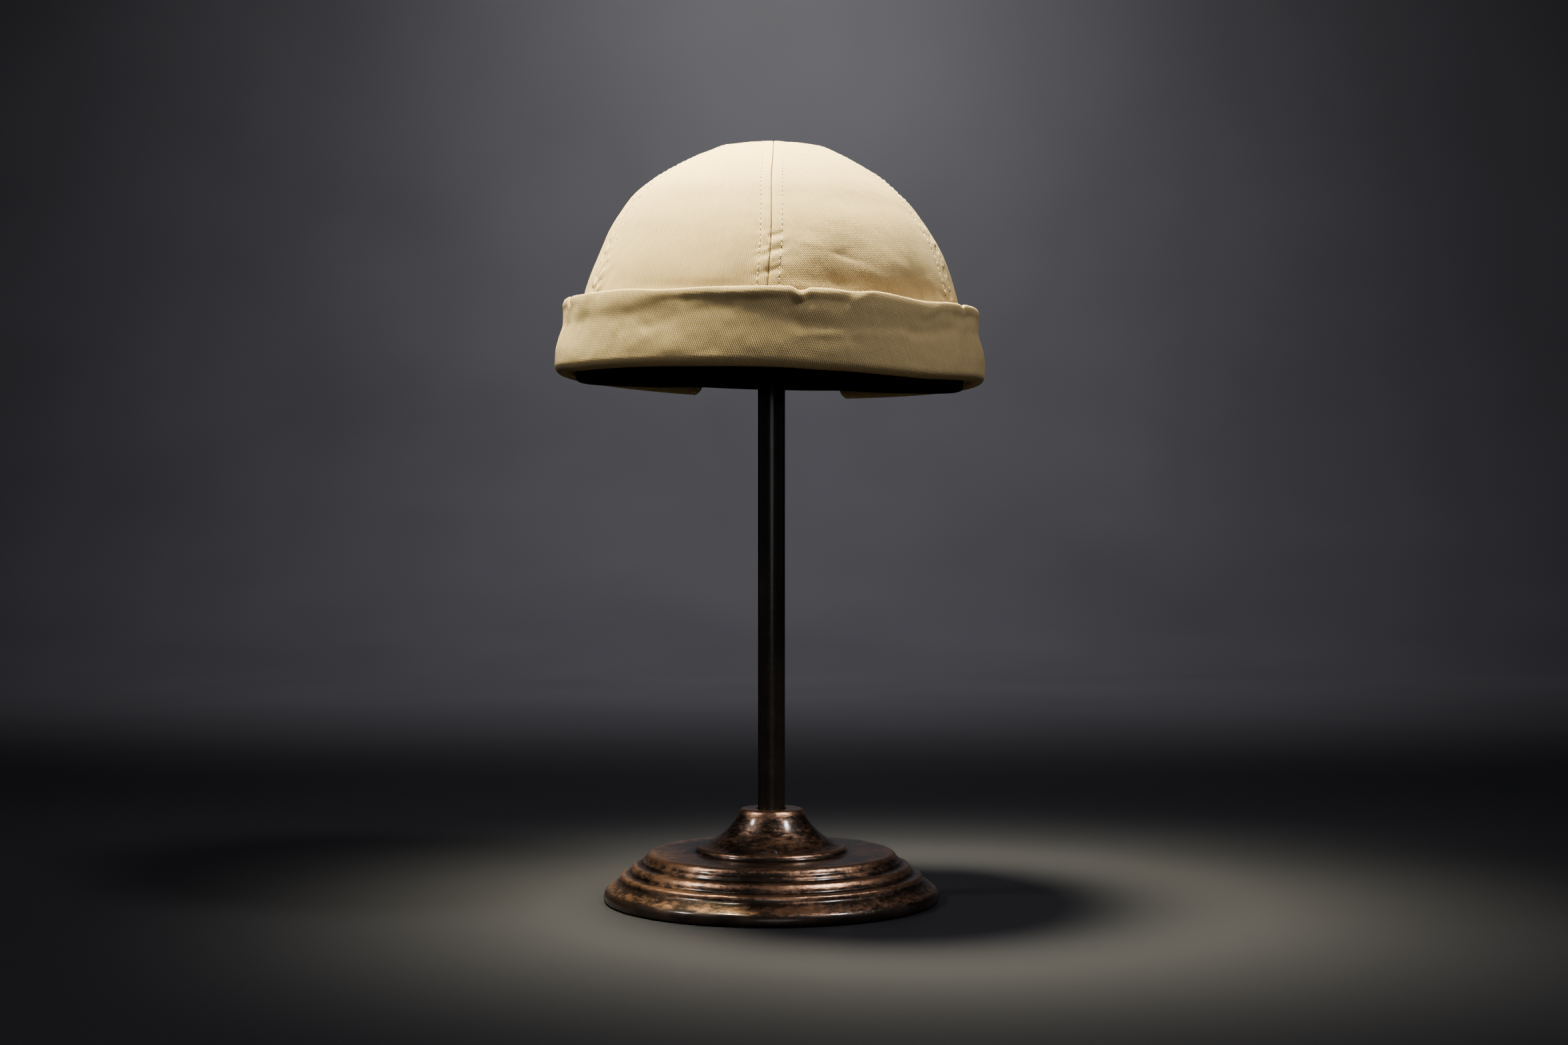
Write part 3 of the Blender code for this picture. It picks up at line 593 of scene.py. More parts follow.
def make_gore(name, first, last, slant, seed, finish):
    """One panel of the crown, from the middle of the top down to the rim."""
    foot = PANEL_LENGTH - np.array(GORE_FOOT_ROWS) * MM
    down = np.concatenate([np.linspace(0, PANEL_LENGTH - GORE_FOOT, GORE_ROWS), foot])
    angle = gore_angles((first, last), down)
    down = np.broadcast_to(down, angle.shape)
    outer, inner, relief = gore_cloth((first, last), angle, down, seed)
    middle = (seam_angle(first, down) + seam_angle(last, down)) / 2
    pattern = laid_on_ribs((angle - middle) * crown_pace(angle, down), -down, slant)
    piece = make_shell("gore_" + name, outer, inner, pattern, relief, finish)
    return stand_in(piece, "cotton_twill", "panel_" + name)


def rim_outline(angle, out, height):
    """A point this far outside the crown's rim, at this height."""
    half_width, half_length = CROWN_WIDTH / 2, CROWN_LENGTH / 2
    away = np.stack([half_length * np.sin(angle), -half_width * np.cos(angle)], -1)
    away /= np.linalg.norm(away, axis=-1, keepdims=True)
    x = half_width * np.sin(angle) + away[..., 0] * out
    y = -half_length * np.cos(angle) + away[..., 1] * out
    return np.stack([x, y, height + 0 * angle], -1)


def cuff_middle(angle, step):
    """Middle of the cuff's wall: distance out from the rim and height, for each angle and each step.

    step runs from 0 at the top edge to 1 at the fold, to 2 past the fold and to 3 at the leg's top.
    """
    azimuth = np.degrees(angle)
    bottom = CUFF_BOTTOM + CUFF_HEIGHT * read_along(CUFF_EDGES, 2, azimuth)
    top = CUFF_BOTTOM + CUFF_HEIGHT * (1 + read_along(CUFF_EDGES, 1, azimuth))
    radius = CUFF_FOLD / 2
    fold_out = CLEARANCE + CUFF_FOLD
    crown_in = CROWN_WIDTH / 2 - crown_size(crown_down_at(top))[0]
    lean = fold_out - (CUFF_STAND_OFF + CUFF_WALL - crown_in)
    lowest = radius / CUFF_HEIGHT
    share = between(1.0, lowest, np.clip(step, 0, 1))
    at_front, at_back = read_along(CUFF_FRONT_OUTLINE, 1, share), read_along(CUFF_OUTLINE, 1, share)
    leaning = between(at_front, at_back, back_share(angle, FRONT_UNTIL, FRONT_FADED))
    free = eased((share - CUFF_FOLDS_FROM) / (CUFF_FOLDS_FULL - CUFF_FOLDS_FROM))
    below_top = (1 - share) * CUFF_HEIGHT - LIP_LEVEL
    lip = LIP_RISE * read_along(LIP_ROLL, 1, azimuth) * np.exp(-((below_top / LIP_SPAN) ** 2))
    dent = CUFF_FOLD_SHARE * pressed(azimuth, share, CUFF_FOLDS)
    dent = dent + creased(azimuth, share, CUFF_CREASES, CUFF_MM_PER_DEGREE, CUFF_HEIGHT / MM)
    wall_out = fold_out - lean * leaning - free * dent + lip - CUFF_WALL / 2
    above_fold = (share - lowest) / (CUFF_EVEN_FROM - lowest)
    near_fold = between(bottom + radius, between(bottom, top, CUFF_EVEN_FROM), above_fold)
    wall_height = np.where(share < CUFF_EVEN_FROM, near_fold, between(bottom, top, share))
    turn = math.pi * np.clip(step - 1, 0, 1)
    reach = radius - CUFF_WALL / 2
    fold = (CLEARANCE + radius + reach * np.cos(turn), bottom + radius - reach * np.sin(turn))
    rise = (CUFF_LEG - radius) * np.clip(step - 2, 0, 1)
    out = np.where(step <= 1, wall_out, fold[0])
    height = np.where(step <= 1, wall_height, fold[1] + rise)
    return out + 0 * angle, height + 0 * angle


def back_end(height_share):
    """Angle at which the cuff ends at the back, with its lower corner rounded off."""
    above = np.clip(height_share * CUFF_HEIGHT / CUFF_CORNER, 0, 1)
    half_opening = BACK_OPENING / 2 + CUFF_CORNER * (1 - np.sqrt(1 - (1 - above) ** 2))
    return math.pi - np.arcsin(half_opening / (CROWN_WIDTH / 2 + CUFF_FOLD))


def cuff_steps():
    """Rows of the cuff, close together at the top edge and at the leg's top."""
    lip = np.array(CUFF_LIP_ROWS) * MM / CUFF_WALL_LENGTH
    wall = np.linspace(lip[-1], 1, CUFF_WALL_ROWS)[1:]
    fold = 1 + np.linspace(0, 1, CUFF_FOLD_ROWS)[1:]
    leg = 3 - np.array(CUFF_LEG_ROWS) * MM / CUFF_LEG_LENGTH
    return np.concatenate([lip, wall, fold, leg])


def cuff_cloth(angle, step):
    """Outer and inner face of the cuff at angles and steps, without its closed edges, and the relief."""
    delta = 0.01
    low, high = np.maximum(step - delta, 0), np.minimum(step + delta, 3)
    before, after = cuff_middle(angle, low), cuff_middle(angle, high)
    run = np.stack([after[0] - before[0], after[1] - before[1]], -1)
    run /= np.linalg.norm(run, axis=-1, keepdims=True)
    out, height = cuff_middle(angle, step)
    relief = eased((1.02 - step) / 0.12) * uneven(rim_outline(angle, out, height), CUFF_RIPPLES)
    return out, height, (-run[..., 1], run[..., 0]), relief


def make_cuff(finish):
    """The turned-up band, open at the back."""
    step = cuff_steps()
    _, height = cuff_middle(np.zeros(1), step[None, :])
    end = back_end(np.maximum(height[0] - CUFF_BOTTOM, 0) / CUFF_HEIGHT)
    reach = CROWN_WIDTH / 2 + CUFF_FOLD
    side = np.array(CUFF_SIDE_COLUMNS)[:, None] * MM / reach
    left, right = -end + side, (end - side)[::-1]
    share = np.linspace(0, 1, CUFF_COLUMNS)[1:-1, None]
    angle = np.concatenate([left, between(left[-1], right[0], share), right])
    step = np.broadcast_to(step, angle.shape)
    out, height, (away, up), relief = cuff_cloth(angle, step)
    from_side = np.minimum(angle + end, end - angle) * reach
    from_edge = np.where(step < 1.5, step * CUFF_WALL_LENGTH, (3 - step) * CUFF_LEG_LENGTH)
    full = rounded(from_side, CUFF_WALL / 2) * rounded(from_edge, CUFF_WALL / 2)
    half = full * CUFF_WALL / 2
    raised = half + relief * full
    outer = hang(rim_outline(angle, out + away * raised, height + up * raised))
    inner = hang(rim_outline(angle, out - away * half, height - up * half))
    turn_length = math.pi * (CUFF_FOLD - CUFF_WALL) / 2
    along = np.clip(step, 0, 1) * CUFF_WALL_LENGTH + np.clip(step - 1, 0, 1) * turn_length
    along = along + np.clip(step - 2, 0, 1) * CUFF_LEG_LENGTH
    pattern = laid_on_ribs(angle * CUFF_RADIUS, -along, CUFF_RIB_SLANT)
    piece = make_shell("turned_cuff", outer, inner, pattern, 0 * angle, finish)
    return stand_in(piece, "cotton_twill", "cuff")


def make_sweatband(finish):
    """The closed band that lines the crown's lower edge and hangs a little below its rim."""
    from_top = rows_across(SWEATBAND_HEIGHT, BAND_EDGE_ROWS, BAND_ROWS)
    angle = np.linspace(0, math.tau, BAND_COLUMNS)[:, None] + 0 * from_top
    back = back_share(angle, BACK_DROP_FROM, BACK_DROP_FULL)
    lowest = RIM_HEIGHT - between(SWEATBAND_DROP, SWEATBAND_BACK_DROP, back)
    highest = RIM_HEIGHT + SWEATBAND_HEIGHT - SWEATBAND_DROP
    height = between(highest, lowest, from_top / SWEATBAND_HEIGHT)
    drop = np.maximum(0, RIM_HEIGHT - height)
    down = crown_down_at(height + drop)
    skin, outward = crown_skin(angle, down), crown_outward(angle, down)
    half = SWEATBAND_THICKNESS / 2
    full = rounded(np.minimum(from_top, SWEATBAND_HEIGHT - from_top), half)
    middle = CLOTH + CLEARANCE + half + 0 * angle
    below = np.stack([0 * drop, 0 * drop, drop], -1)
    outer = hang(skin - outward * (middle - full * half)[..., None] - below)
    inner = hang(skin - outward * (middle + full * half)[..., None] - below)
    pattern = np.stack([angle * BAND_RADIUS, -from_top + 0 * angle], -1)
    piece = make_shell("inner_sweatband", outer, inner, pattern, 0 * angle, finish)
    return stand_in(piece, "band_cloth", "sweatband")


def strap_place(angle, across, rise):
    """Point of the strap's middle sheet, or this far outside it. across runs down from the upper edge."""
    lower = CUFF_BOTTOM + CUFF_LEG + STRAP_RISE
    down = crown_down_at(lower + STRAP_WIDTH - across)
    proud = STRAP_GAP + STRAP_THICKNESS / 2 + rise
    skin = crown_skin(angle, down) + crown_outward(angle, down) * proud[..., None]
    return hang(skin)


def strap_relief(across, from_end):
    """The strap's pressed edges and the grooves of its two stitch rows."""
    edge = np.minimum(across, STRAP_WIDTH - across)
    groove = np.exp(-(((edge - STRAP_STITCH_OFFSET) / STRAP_GROOVE_WIDTH) ** 2))
    sunk = STRAP_GROOVE_DEPTH * groove * eased(from_end / (2 * MM))
    return uneven(np.stack([across, from_end], -1), STRAP_RIPPLES) - sunk


def make_strap(finish):
    """The adjuster strap across the opening at the back, with its ends behind the cuff."""
    edge = np.array(STRAP_EDGE_ROWS[:6]) * MM
    across = rows_across(STRAP_WIDTH, STRAP_EDGE_ROWS, STRAP_ROWS)
    middle = np.linspace(edge[-1], STRAP_LENGTH - edge[-1], STRAP_COLUMNS)
    along = np.concatenate([edge[:-1], middle, (STRAP_LENGTH - edge[:-1])[::-1]])
    along, across = np.meshgrid(along, across, indexing="ij")
    angle = math.pi + between(-STRAP_REACH, STRAP_REACH, along / STRAP_LENGTH)
    from_end = np.minimum(along, STRAP_LENGTH - along)
    half = STRAP_THICKNESS / 2
    full = rounded(np.minimum(across, STRAP_WIDTH - across), half) * rounded(from_end, half)
    relief = strap_relief(across, from_end)
    outer = strap_place(angle, across, full * (half + relief))
    inner = strap_place(angle, across, -full * half)
    pattern = laid_on_ribs(along, -across, STRAP_RIB_SLANT)
    # Where the strap's relief is sunk, in its stitch grooves and ripples, the material paints shade
    piece = make_shell("adjuster_strap", outer, inner, pattern, relief * full, finish)
    return stand_in(piece, "strap_twill", "back_strap")


def smoothed(points, passes):
    """Points of a line, each drawn this many times towards its neighbours."""
    points = points.copy()
    for _ in range(passes):
        points[1:-1] = (points[:-2] + 2 * points[1:-1] + points[2:]) / 4
    return points


def turned_outline(profile, spacing):
    """A turned outline with its corners eased, as points this far apart, and how far each stands out."""
    profile = np.array(profile, float)
    lengths = np.concatenate([[0], np.cumsum(np.linalg.norm(np.diff(profile, axis=0), axis=1))])
    at = np.linspace(0, lengths[-1], int(lengths[-1] / spacing) + 2)
    fine = np.stack([np.interp(at, lengths, profile[:, i]) for i in range(2)], -1)
    soft = smoothed(fine, CORNER_PASSES)
    run = np.gradient(soft, axis=0)
    away = np.stack([run[:, 1], -run[:, 0]], -1) / np.linalg.norm(run, axis=1, keepdims=True)
    return soft, ((soft - smoothed(soft, WIDE_PASSES)) * away).sum(1)


def make_turned(name, profile, sides, finish, node, spacing=0.5 * MM):
    """A solid turned round the axis from its outline, which starts and ends on the axis."""
    outline, standing = turned_outline(profile, spacing)
    angle = np.linspace(0, math.tau, sides + 1)[:-1, None]
    radius, height = outline[:, 0], outline[:, 1]
    points = np.stack([radius * np.cos(angle), radius * np.sin(angle), height + 0 * angle], -1)
    rows = len(radius)
    corner = np.arange(sides * rows).reshape(sides, rows)
    following = np.roll(corner, -1, axis=0)
    quads = np.stack([corner[:, :-1], following[:, :-1], following[:, 1:], corner[:, 1:]], -1)
    mesh = bpy.data.meshes.new(name)
    mesh.from_pydata(points.reshape(-1, 3), [], quads.reshape(-1, 4).tolist())
    edge = mesh.attributes.new("edge", "FLOAT", "POINT")
    worn = np.clip(standing / WORN_EDGE, -1, 1)
    edge.data.foreach_set("value", np.tile(worn, sides).astype(np.float32))
    close_up(mesh)
    return stand_in(add_piece(name, mesh, finish), "bronze_lacquer", node)


def make_stand(lacquer, pole_lacquer):
    """The base, the pole and the seat, each turned round the one axis."""
    socket = POLE_RADIUS + CLEARANCE
    floor_height = BASE_HEIGHT - POLE_SOCKET_DEPTH
    profile = [(0.0, 0.0)] + [(out * BASE_RADIUS, up * BASE_HEIGHT) for out, up in BASE_PROFILE]
    profile += [(socket, BASE_HEIGHT), (socket, floor_height), (0.0, floor_height)]
    make_turned("turned_base", profile, BASE_SIDES, lacquer, "stand_base")
    foot = floor_height + CLEARANCE
    head = STAND_HEIGHT - SEAT_THICKNESS + SEAT_SOCKET_DEPTH - CLEARANCE
    profile = [(0.0, foot), (POLE_RADIUS, foot), (POLE_RADIUS, head), (0.0, head)]
    make_turned("round_pole", profile, POLE_SIDES, pole_lacquer, "stand_pole", POLE_SPACING)
    under = STAND_HEIGHT - SEAT_THICKNESS
    roof = under + SEAT_SOCKET_DEPTH
    profile = [(0.0, roof), (socket, roof), (socket, under), (SEAT_RADIUS, under)]
    for turn in np.linspace(0, math.pi / 2, 7):
        radius = SEAT_RADIUS - SEAT_EDGE_ROUND * (1 - math.cos(turn))
        profile.append((radius, STAND_HEIGHT - SEAT_EDGE_ROUND * (1 - math.sin(turn))))
    profile.append((0.0, STAND_HEIGHT))
    make_turned("round_seat", profile, SEAT_SIDES, pole_lacquer, "stand_seat")


def put(tree, kind, inputs=None, **settings):
    """Add a node, set it, and feed its inputs with values or with other nodes' outputs."""
    node = tree.nodes.new(kind)
    for name, value in settings.items():
        setattr(node, name, value)
    for key, value in (inputs or {}).items():
        if isinstance(value, bpy.types.NodeSocket):
            tree.links.new(value, node.inputs[key])
        else:
            node.inputs[key].default_value = value
    return node


def sum_up(tree, operation, *values, clamp=False):
    """Output of a math node."""
    inputs = dict(enumerate(values))
    return put(tree, "ShaderNodeMath", inputs, operation=operation, use_clamp=clamp).outputs[0]


def noise(tree, place, scale, detail=2.0, rough=0.5):
    """Output of a noise texture, from 0 to 1."""
    inputs = {"Vector": place, "Scale": scale, "Detail": detail, "Roughness": rough}
    return put(tree, "ShaderNodeTexNoise", inputs).outputs[0]


def centred(tree, place, scale, detail=2.0, rough=0.5):
    """Output of a noise texture about zero."""
    return sum_up(tree, "SUBTRACT", noise(tree, place, scale, detail, rough), 0.5)


def wave(tree, turns):
    """Output of a wave from -1 to 1 that repeats with every turn."""
    return sum_up(tree, "COSINE", sum_up(tree, "MULTIPLY", turns, math.tau))


def stretch(tree, value, low, high, **settings):
    """Output of a node that makes low 0 and high 1."""
    inputs = {"Value": value, "From Min": low, "From Max": high}
    return put(tree, "ShaderNodeMapRange", inputs, **settings).outputs[0]


def object_place(tree):
    """Place in the object's own space."""
    return put(tree, "ShaderNodeTexCoord").outputs["Object"]


def feed(tree, shader, values):
    """Link each output to the shader's socket of this name."""
    for name, value in values.items():
        tree.links.new(value, shader.inputs[name])


def blended(tree, share, first, second):
    """Colour between two colours."""
    node = put(tree, "ShaderNodeMix", data_type="RGBA")
    tree.links.new(share, node.inputs["Factor"])
    colours = [socket for socket in node.inputs if socket.type == "RGBA"]
    for socket, value in zip(colours, (first, second)):
        if isinstance(value, bpy.types.NodeSocket):
            tree.links.new(value, socket)
        else:
            socket.default_value = (*value, 1.0)
    return next(socket for socket in node.outputs if socket.type == "RGBA")


def new_group(name, inputs, outputs, kind="ShaderNodeTree"):
    """A node group with named sockets, each input with its value or None, and the nodes at its ends."""
    tree = bpy.data.node_groups.new(name, kind)
    for socket, holds, value in inputs:
        made = tree.interface.new_socket(socket, in_out="INPUT", socket_type="NodeSocket" + holds)
        if value is not None:
            made.default_value = value
    for socket, holds in outputs:
        tree.interface.new_socket(socket, in_out="OUTPUT", socket_type="NodeSocket" + holds)
    return tree, tree.nodes.new("NodeGroupInput"), tree.nodes.new("NodeGroupOutput")


def twill_group():
    """Twill weave: ribs along the second axis of the flat cloth, their height, and a shade of the yarns that
    varies at random and is painted darker in the furrows between the ribs.
    """
    tree, given, result = new_group(
        "twill weave",
        [("Place", "Vector", None), ("Rib pitch", "Float", 0.75 * MM), ("Fibre", "Float", 0.2)],
        [("Height", "Float"), ("Shade", "Float")],
    )
    place, pitch, fibre = (given.outputs[name] for name in ("Place", "Rib pitch", "Fibre"))
    parts = put(tree, "ShaderNodeSeparateXYZ", {0: place})
    drift = sum_up(tree, "MULTIPLY", centred(tree, place, 150.0), RIB_DRIFT)
    turns = sum_up(tree, "DIVIDE", sum_up(tree, "ADD", parts.outputs["X"], drift), pitch)
    rib = sum_up(tree, "MULTIPLY_ADD", wave(tree, turns), 0.5, 0.5)
    rib = sum_up(tree, "POWER", rib, 0.7)
    number = sum_up(tree, "ROUND", turns)
    run = sum_up(tree, "DIVIDE", parts.outputs["Y"], sum_up(tree, "MULTIPLY", pitch, 1.5))
    run = sum_up(tree, "MULTIPLY_ADD", number, 0.37, run)
    yarn = sum_up(tree, "MULTIPLY_ADD", wave(tree, run), 0.16, 0.84)
    fuzz = sum_up(tree, "MULTIPLY", centred(tree, place, 3200.0, 3.0, 0.6), fibre)
    height = sum_up(tree, "MULTIPLY_ADD", rib, yarn, fuzz)
    along_rib = sum_up(tree, "MULTIPLY", parts.outputs["Y"], 60.0)
    streaks = put(tree, "ShaderNodeCombineXYZ", {0: sum_up(tree, "MULTIPLY", number, 3.7), 1: along_rib})
    shades = (
        (centred(tree, streaks.outputs[0], 1.0, 1.0), 0.2),
        (centred(tree, place, 45.0, 3.0, 0.6), 0.16),
        (centred(tree, place, 700.0, 3.0, 0.65), 0.28),
    )
    # Painted shade: the furrows between the ribs are darker than the raised ribs
    shade = sum_up(tree, "MULTIPLY_ADD", height, 0.2, 0.5)
    for part, weight in shades:
        shade = sum_up(tree, "MULTIPLY_ADD", part, weight, shade)
    tree.links.new(height, result.inputs["Height"])
    tree.links.new(sum_up(tree, "MAXIMUM", shade, 0.0, clamp=True), result.inputs["Shade"])
    return tree


def seam_shade_and_rubbing_group():
    """Sewn relief as colour: painted shade, broken by noise, in the seams' furrows and puckers; their raised
    parts are rubbed paler.
    """
    tree, given, result = new_group(
        "seam wear",
        [("Shade", "Float", 0.5), ("Furrow", "Float", 0.9), ("Ridge", "Float", 0.35)],
        [("Shade", "Float")],
    )
    relief = put(tree, "ShaderNodeAttribute", attribute_name="relief").outputs["Fac"]
    broken = sum_up(tree, "MULTIPLY_ADD", noise(tree, flat_place(tree), 900.0), 1.6, 0.1)
    # Painted shade where the relief is sunk
    sunk = sum_up(tree, "MULTIPLY", sum_up(tree, "MINIMUM", relief, 0.0), given.outputs["Furrow"])
    sunk = sum_up(tree, "MULTIPLY", sunk, broken)
    raised = sum_up(tree, "MULTIPLY", sum_up(tree, "MAXIMUM", relief, 0.0), given.outputs["Ridge"])
    shade = sum_up(tree, "ADD", given.outputs["Shade"], sum_up(tree, "ADD", sunk, raised), clamp=True)
    tree.links.new(shade, result.inputs["Shade"])
    return tree


def rub_group():
    """Lacquer rubbed through to the metal below, most on edges that stand out, least at the foot."""
    tree, given, result = new_group(
        "rubbed lacquer",
        [("Amount", "Float", 0.5), ("Edge", "Float", 0.5)],
        [("Rubbed", "Float"), ("Streaks", "Float")],
    )
    place = object_place(tree)
    stretched = put(tree, "ShaderNodeMapping", {"Vector": place, "Scale": (1.0, 1.0, 3.0)}).outputs[0]
    cloud = noise(tree, stretched, 38.0, 6.0, 0.62)
    streak = noise(tree, stretched, 260.0, 6.0, 0.75)
    edge = put(tree, "ShaderNodeAttribute", attribute_name="edge").outputs["Fac"]
    level = sum_up(tree, "MULTIPLY_ADD", streak, 0.65, sum_up(tree, "MULTIPLY", cloud, 0.75))
    level = sum_up(tree, "MULTIPLY_ADD", edge, given.outputs["Edge"], level)
    level = sum_up(tree, "ADD", level, sum_up(tree, "SUBTRACT", given.outputs["Amount"], 1.0))
    height = put(tree, "ShaderNodeSeparateXYZ", {0: place}).outputs["Z"]
    level = sum_up(tree, "MULTIPLY_ADD", stretch(tree, height, FOOT_CLEAN_TO, FOOT_CLEAN), -0.5, level)
    rubbed = stretch(tree, level, 0.04, 0.38, interpolation_type="SMOOTHSTEP")
    tree.links.new(rubbed, result.inputs["Rubbed"])
    tree.links.new(streak, result.inputs["Streaks"])
    return tree


def new_finish(name, **sockets):
    """A material with its shader's plain sockets set, its tree and its shader."""
    finish = bpy.data.materials.new(name)
    finish.use_nodes = True
    tree = finish.node_tree
    shader = tree.nodes["Principled BSDF"]
    for socket, value in sockets.items():
        shader.inputs[socket.replace("_", " ")].default_value = value
    return finish, tree, shader


def bump(tree, height, depth):
    """Normal of a surface with this relief."""
    return put(tree, "ShaderNodeBump", {"Height": height, "Distance": depth, "Strength": 1.0}).outputs[0]


def flat_place(tree):
    """Place on the flat cloth."""
    return put(tree, "ShaderNodeUVMap", uv_map="cloth").outputs[0]


def twill_finish(name, weave, shade_and_rubbing, dark, pale, pitch, depth):
    """Cotton twill on a piece's own flat pattern."""
    finish, tree, shader = new_finish(name, Specular_IOR_Level=0.15, Sheen_Weight=0.04, Sheen_Roughness=0.5)
    cloth = {"Place": flat_place(tree), "Rib pitch": pitch}
    ribs = put(tree, "ShaderNodeGroup", cloth, node_tree=weave)
    worn = put(tree, "ShaderNodeGroup", {"Shade": ribs.outputs["Shade"]}, node_tree=shade_and_rubbing)
    feed(tree, shader, {
        "Base Color": blended(tree, worn.outputs["Shade"], dark, pale),
        "Roughness": sum_up(tree, "MULTIPLY_ADD", ribs.outputs["Height"], -0.1, 0.92),
        "Normal": bump(tree, ribs.outputs["Height"], depth),
    })
    return finish


def band_finish():
    """Near-black grosgrain band: fine ribs across it, its raised yarns painted paler in a random speckle as a
    painted sheen.
    """
    sheen = {"Sheen_Weight": 0.1, "Sheen_Roughness": 0.4}
    finish, tree, shader = new_finish("band_cloth", Specular_IOR_Level=0.3, **sheen)
    place = flat_place(tree)
    parts = put(tree, "ShaderNodeSeparateXYZ", {0: place})
    waves = []
    for side, pitch in (("X", 0.9 * MM), ("Y", 0.55 * MM)):
        turned = sum_up(tree, "MULTIPLY", parts.outputs[side], math.tau / pitch)
        waves.append(sum_up(tree, "SINE", turned))
    weave = sum_up(tree, "MULTIPLY_ADD", sum_up(tree, "MULTIPLY", *waves), 0.5, 0.5)
    speckle = noise(tree, place, 900.0, 3.0, 0.6)
    # Painted sheen: raised yarns paler where the speckle is high
    level = sum_up(tree, "MULTIPLY", weave, speckle, clamp=True)
    feed(tree, shader, {
        "Base Color": blended(tree, level, BAND_BLACK, BAND_SHEEN),
        "Roughness": sum_up(tree, "MULTIPLY_ADD", speckle, 0.2, 0.7),
        "Normal": bump(tree, weave, 0.12 * MM),
    })
    return finish


def thread_finish():
    """Cream sewing thread, twisted from two plies."""
    sheen = {"Sheen_Weight": 0.2, "Sheen_Roughness": 0.4}
    finish, tree, shader = new_finish("cream_thread", Specular_IOR_Level=0.3, **sheen)
    place = object_place(tree)
    twist = put(tree, "ShaderNodeMapping", {"Vector": place, "Rotation": (0.5, 0.3, 0.2)}).outputs[0]
    plies = noise(tree, twist, 2500.0, 2.0, 0.5)
    tint = noise(tree, place, 120.0, 1.0)
    level = sum_up(tree, "MULTIPLY_ADD", tint, 0.4, sum_up(tree, "MULTIPLY", plies, 0.6), clamp=True)
    feed(tree, shader, {
        "Base Color": blended(tree, level, THREAD_SHADE, THREAD_CREAM),
        "Roughness": sum_up(tree, "MULTIPLY_ADD", plies, 0.25, 0.6),
        "Normal": bump(tree, plies, 0.06 * MM),
    })
    return finish


def hole_shade_finish():
    """Painted shade in the holes where the thread goes into the cloth."""
    finish, tree, shader = new_finish("painted_hole_shade", Specular_IOR_Level=0.05, Roughness=0.95)
    speckle = noise(tree, object_place(tree), 900.0)
    feed(tree, shader, {"Base Color": blended(tree, speckle, HOLE_SHADE_DARK, HOLE_SHADE_PALE)})
    return finish


def lacquer_finish(name, rub, amount, edge, metal, dark, brown, copper):
    """Dark bronze lacquer, streaky, with copper rubbed through."""
    finish, tree, shader = new_finish(name, Coat_Roughness=0.14, Specular_IOR_Level=0.5)
    worn = put(tree, "ShaderNodeGroup", {"Amount": amount, "Edge": edge}, node_tree=rub)
    rubbed, streaks = worn.outputs["Rubbed"], worn.outputs["Streaks"]
    place = object_place(tree)
    cloud = stretch(tree, noise(tree, place, 55.0, 5.0, 0.65), 0.35, 0.68)
    dimples = sum_up(tree, "MULTIPLY", streaks, 0.25)
    dimples = sum_up(tree, "ADD", noise(tree, place, 90.0, 4.0, 0.6), dimples)
    feed(tree, shader, {
        "Base Color": blended(tree, rubbed, blended(tree, cloud, dark, brown), copper),
        "Roughness": sum_up(tree, "MULTIPLY_ADD", streaks, 0.3, 0.2),
        "Metallic": sum_up(tree, "MULTIPLY_ADD", rubbed, 0.95 - metal, metal),
        "Coat Weight": sum_up(tree, "MULTIPLY_ADD", rubbed, -0.4, 0.8),
        "Normal": bump(tree, dimples, 0.5 * MM),
    })
    return finish


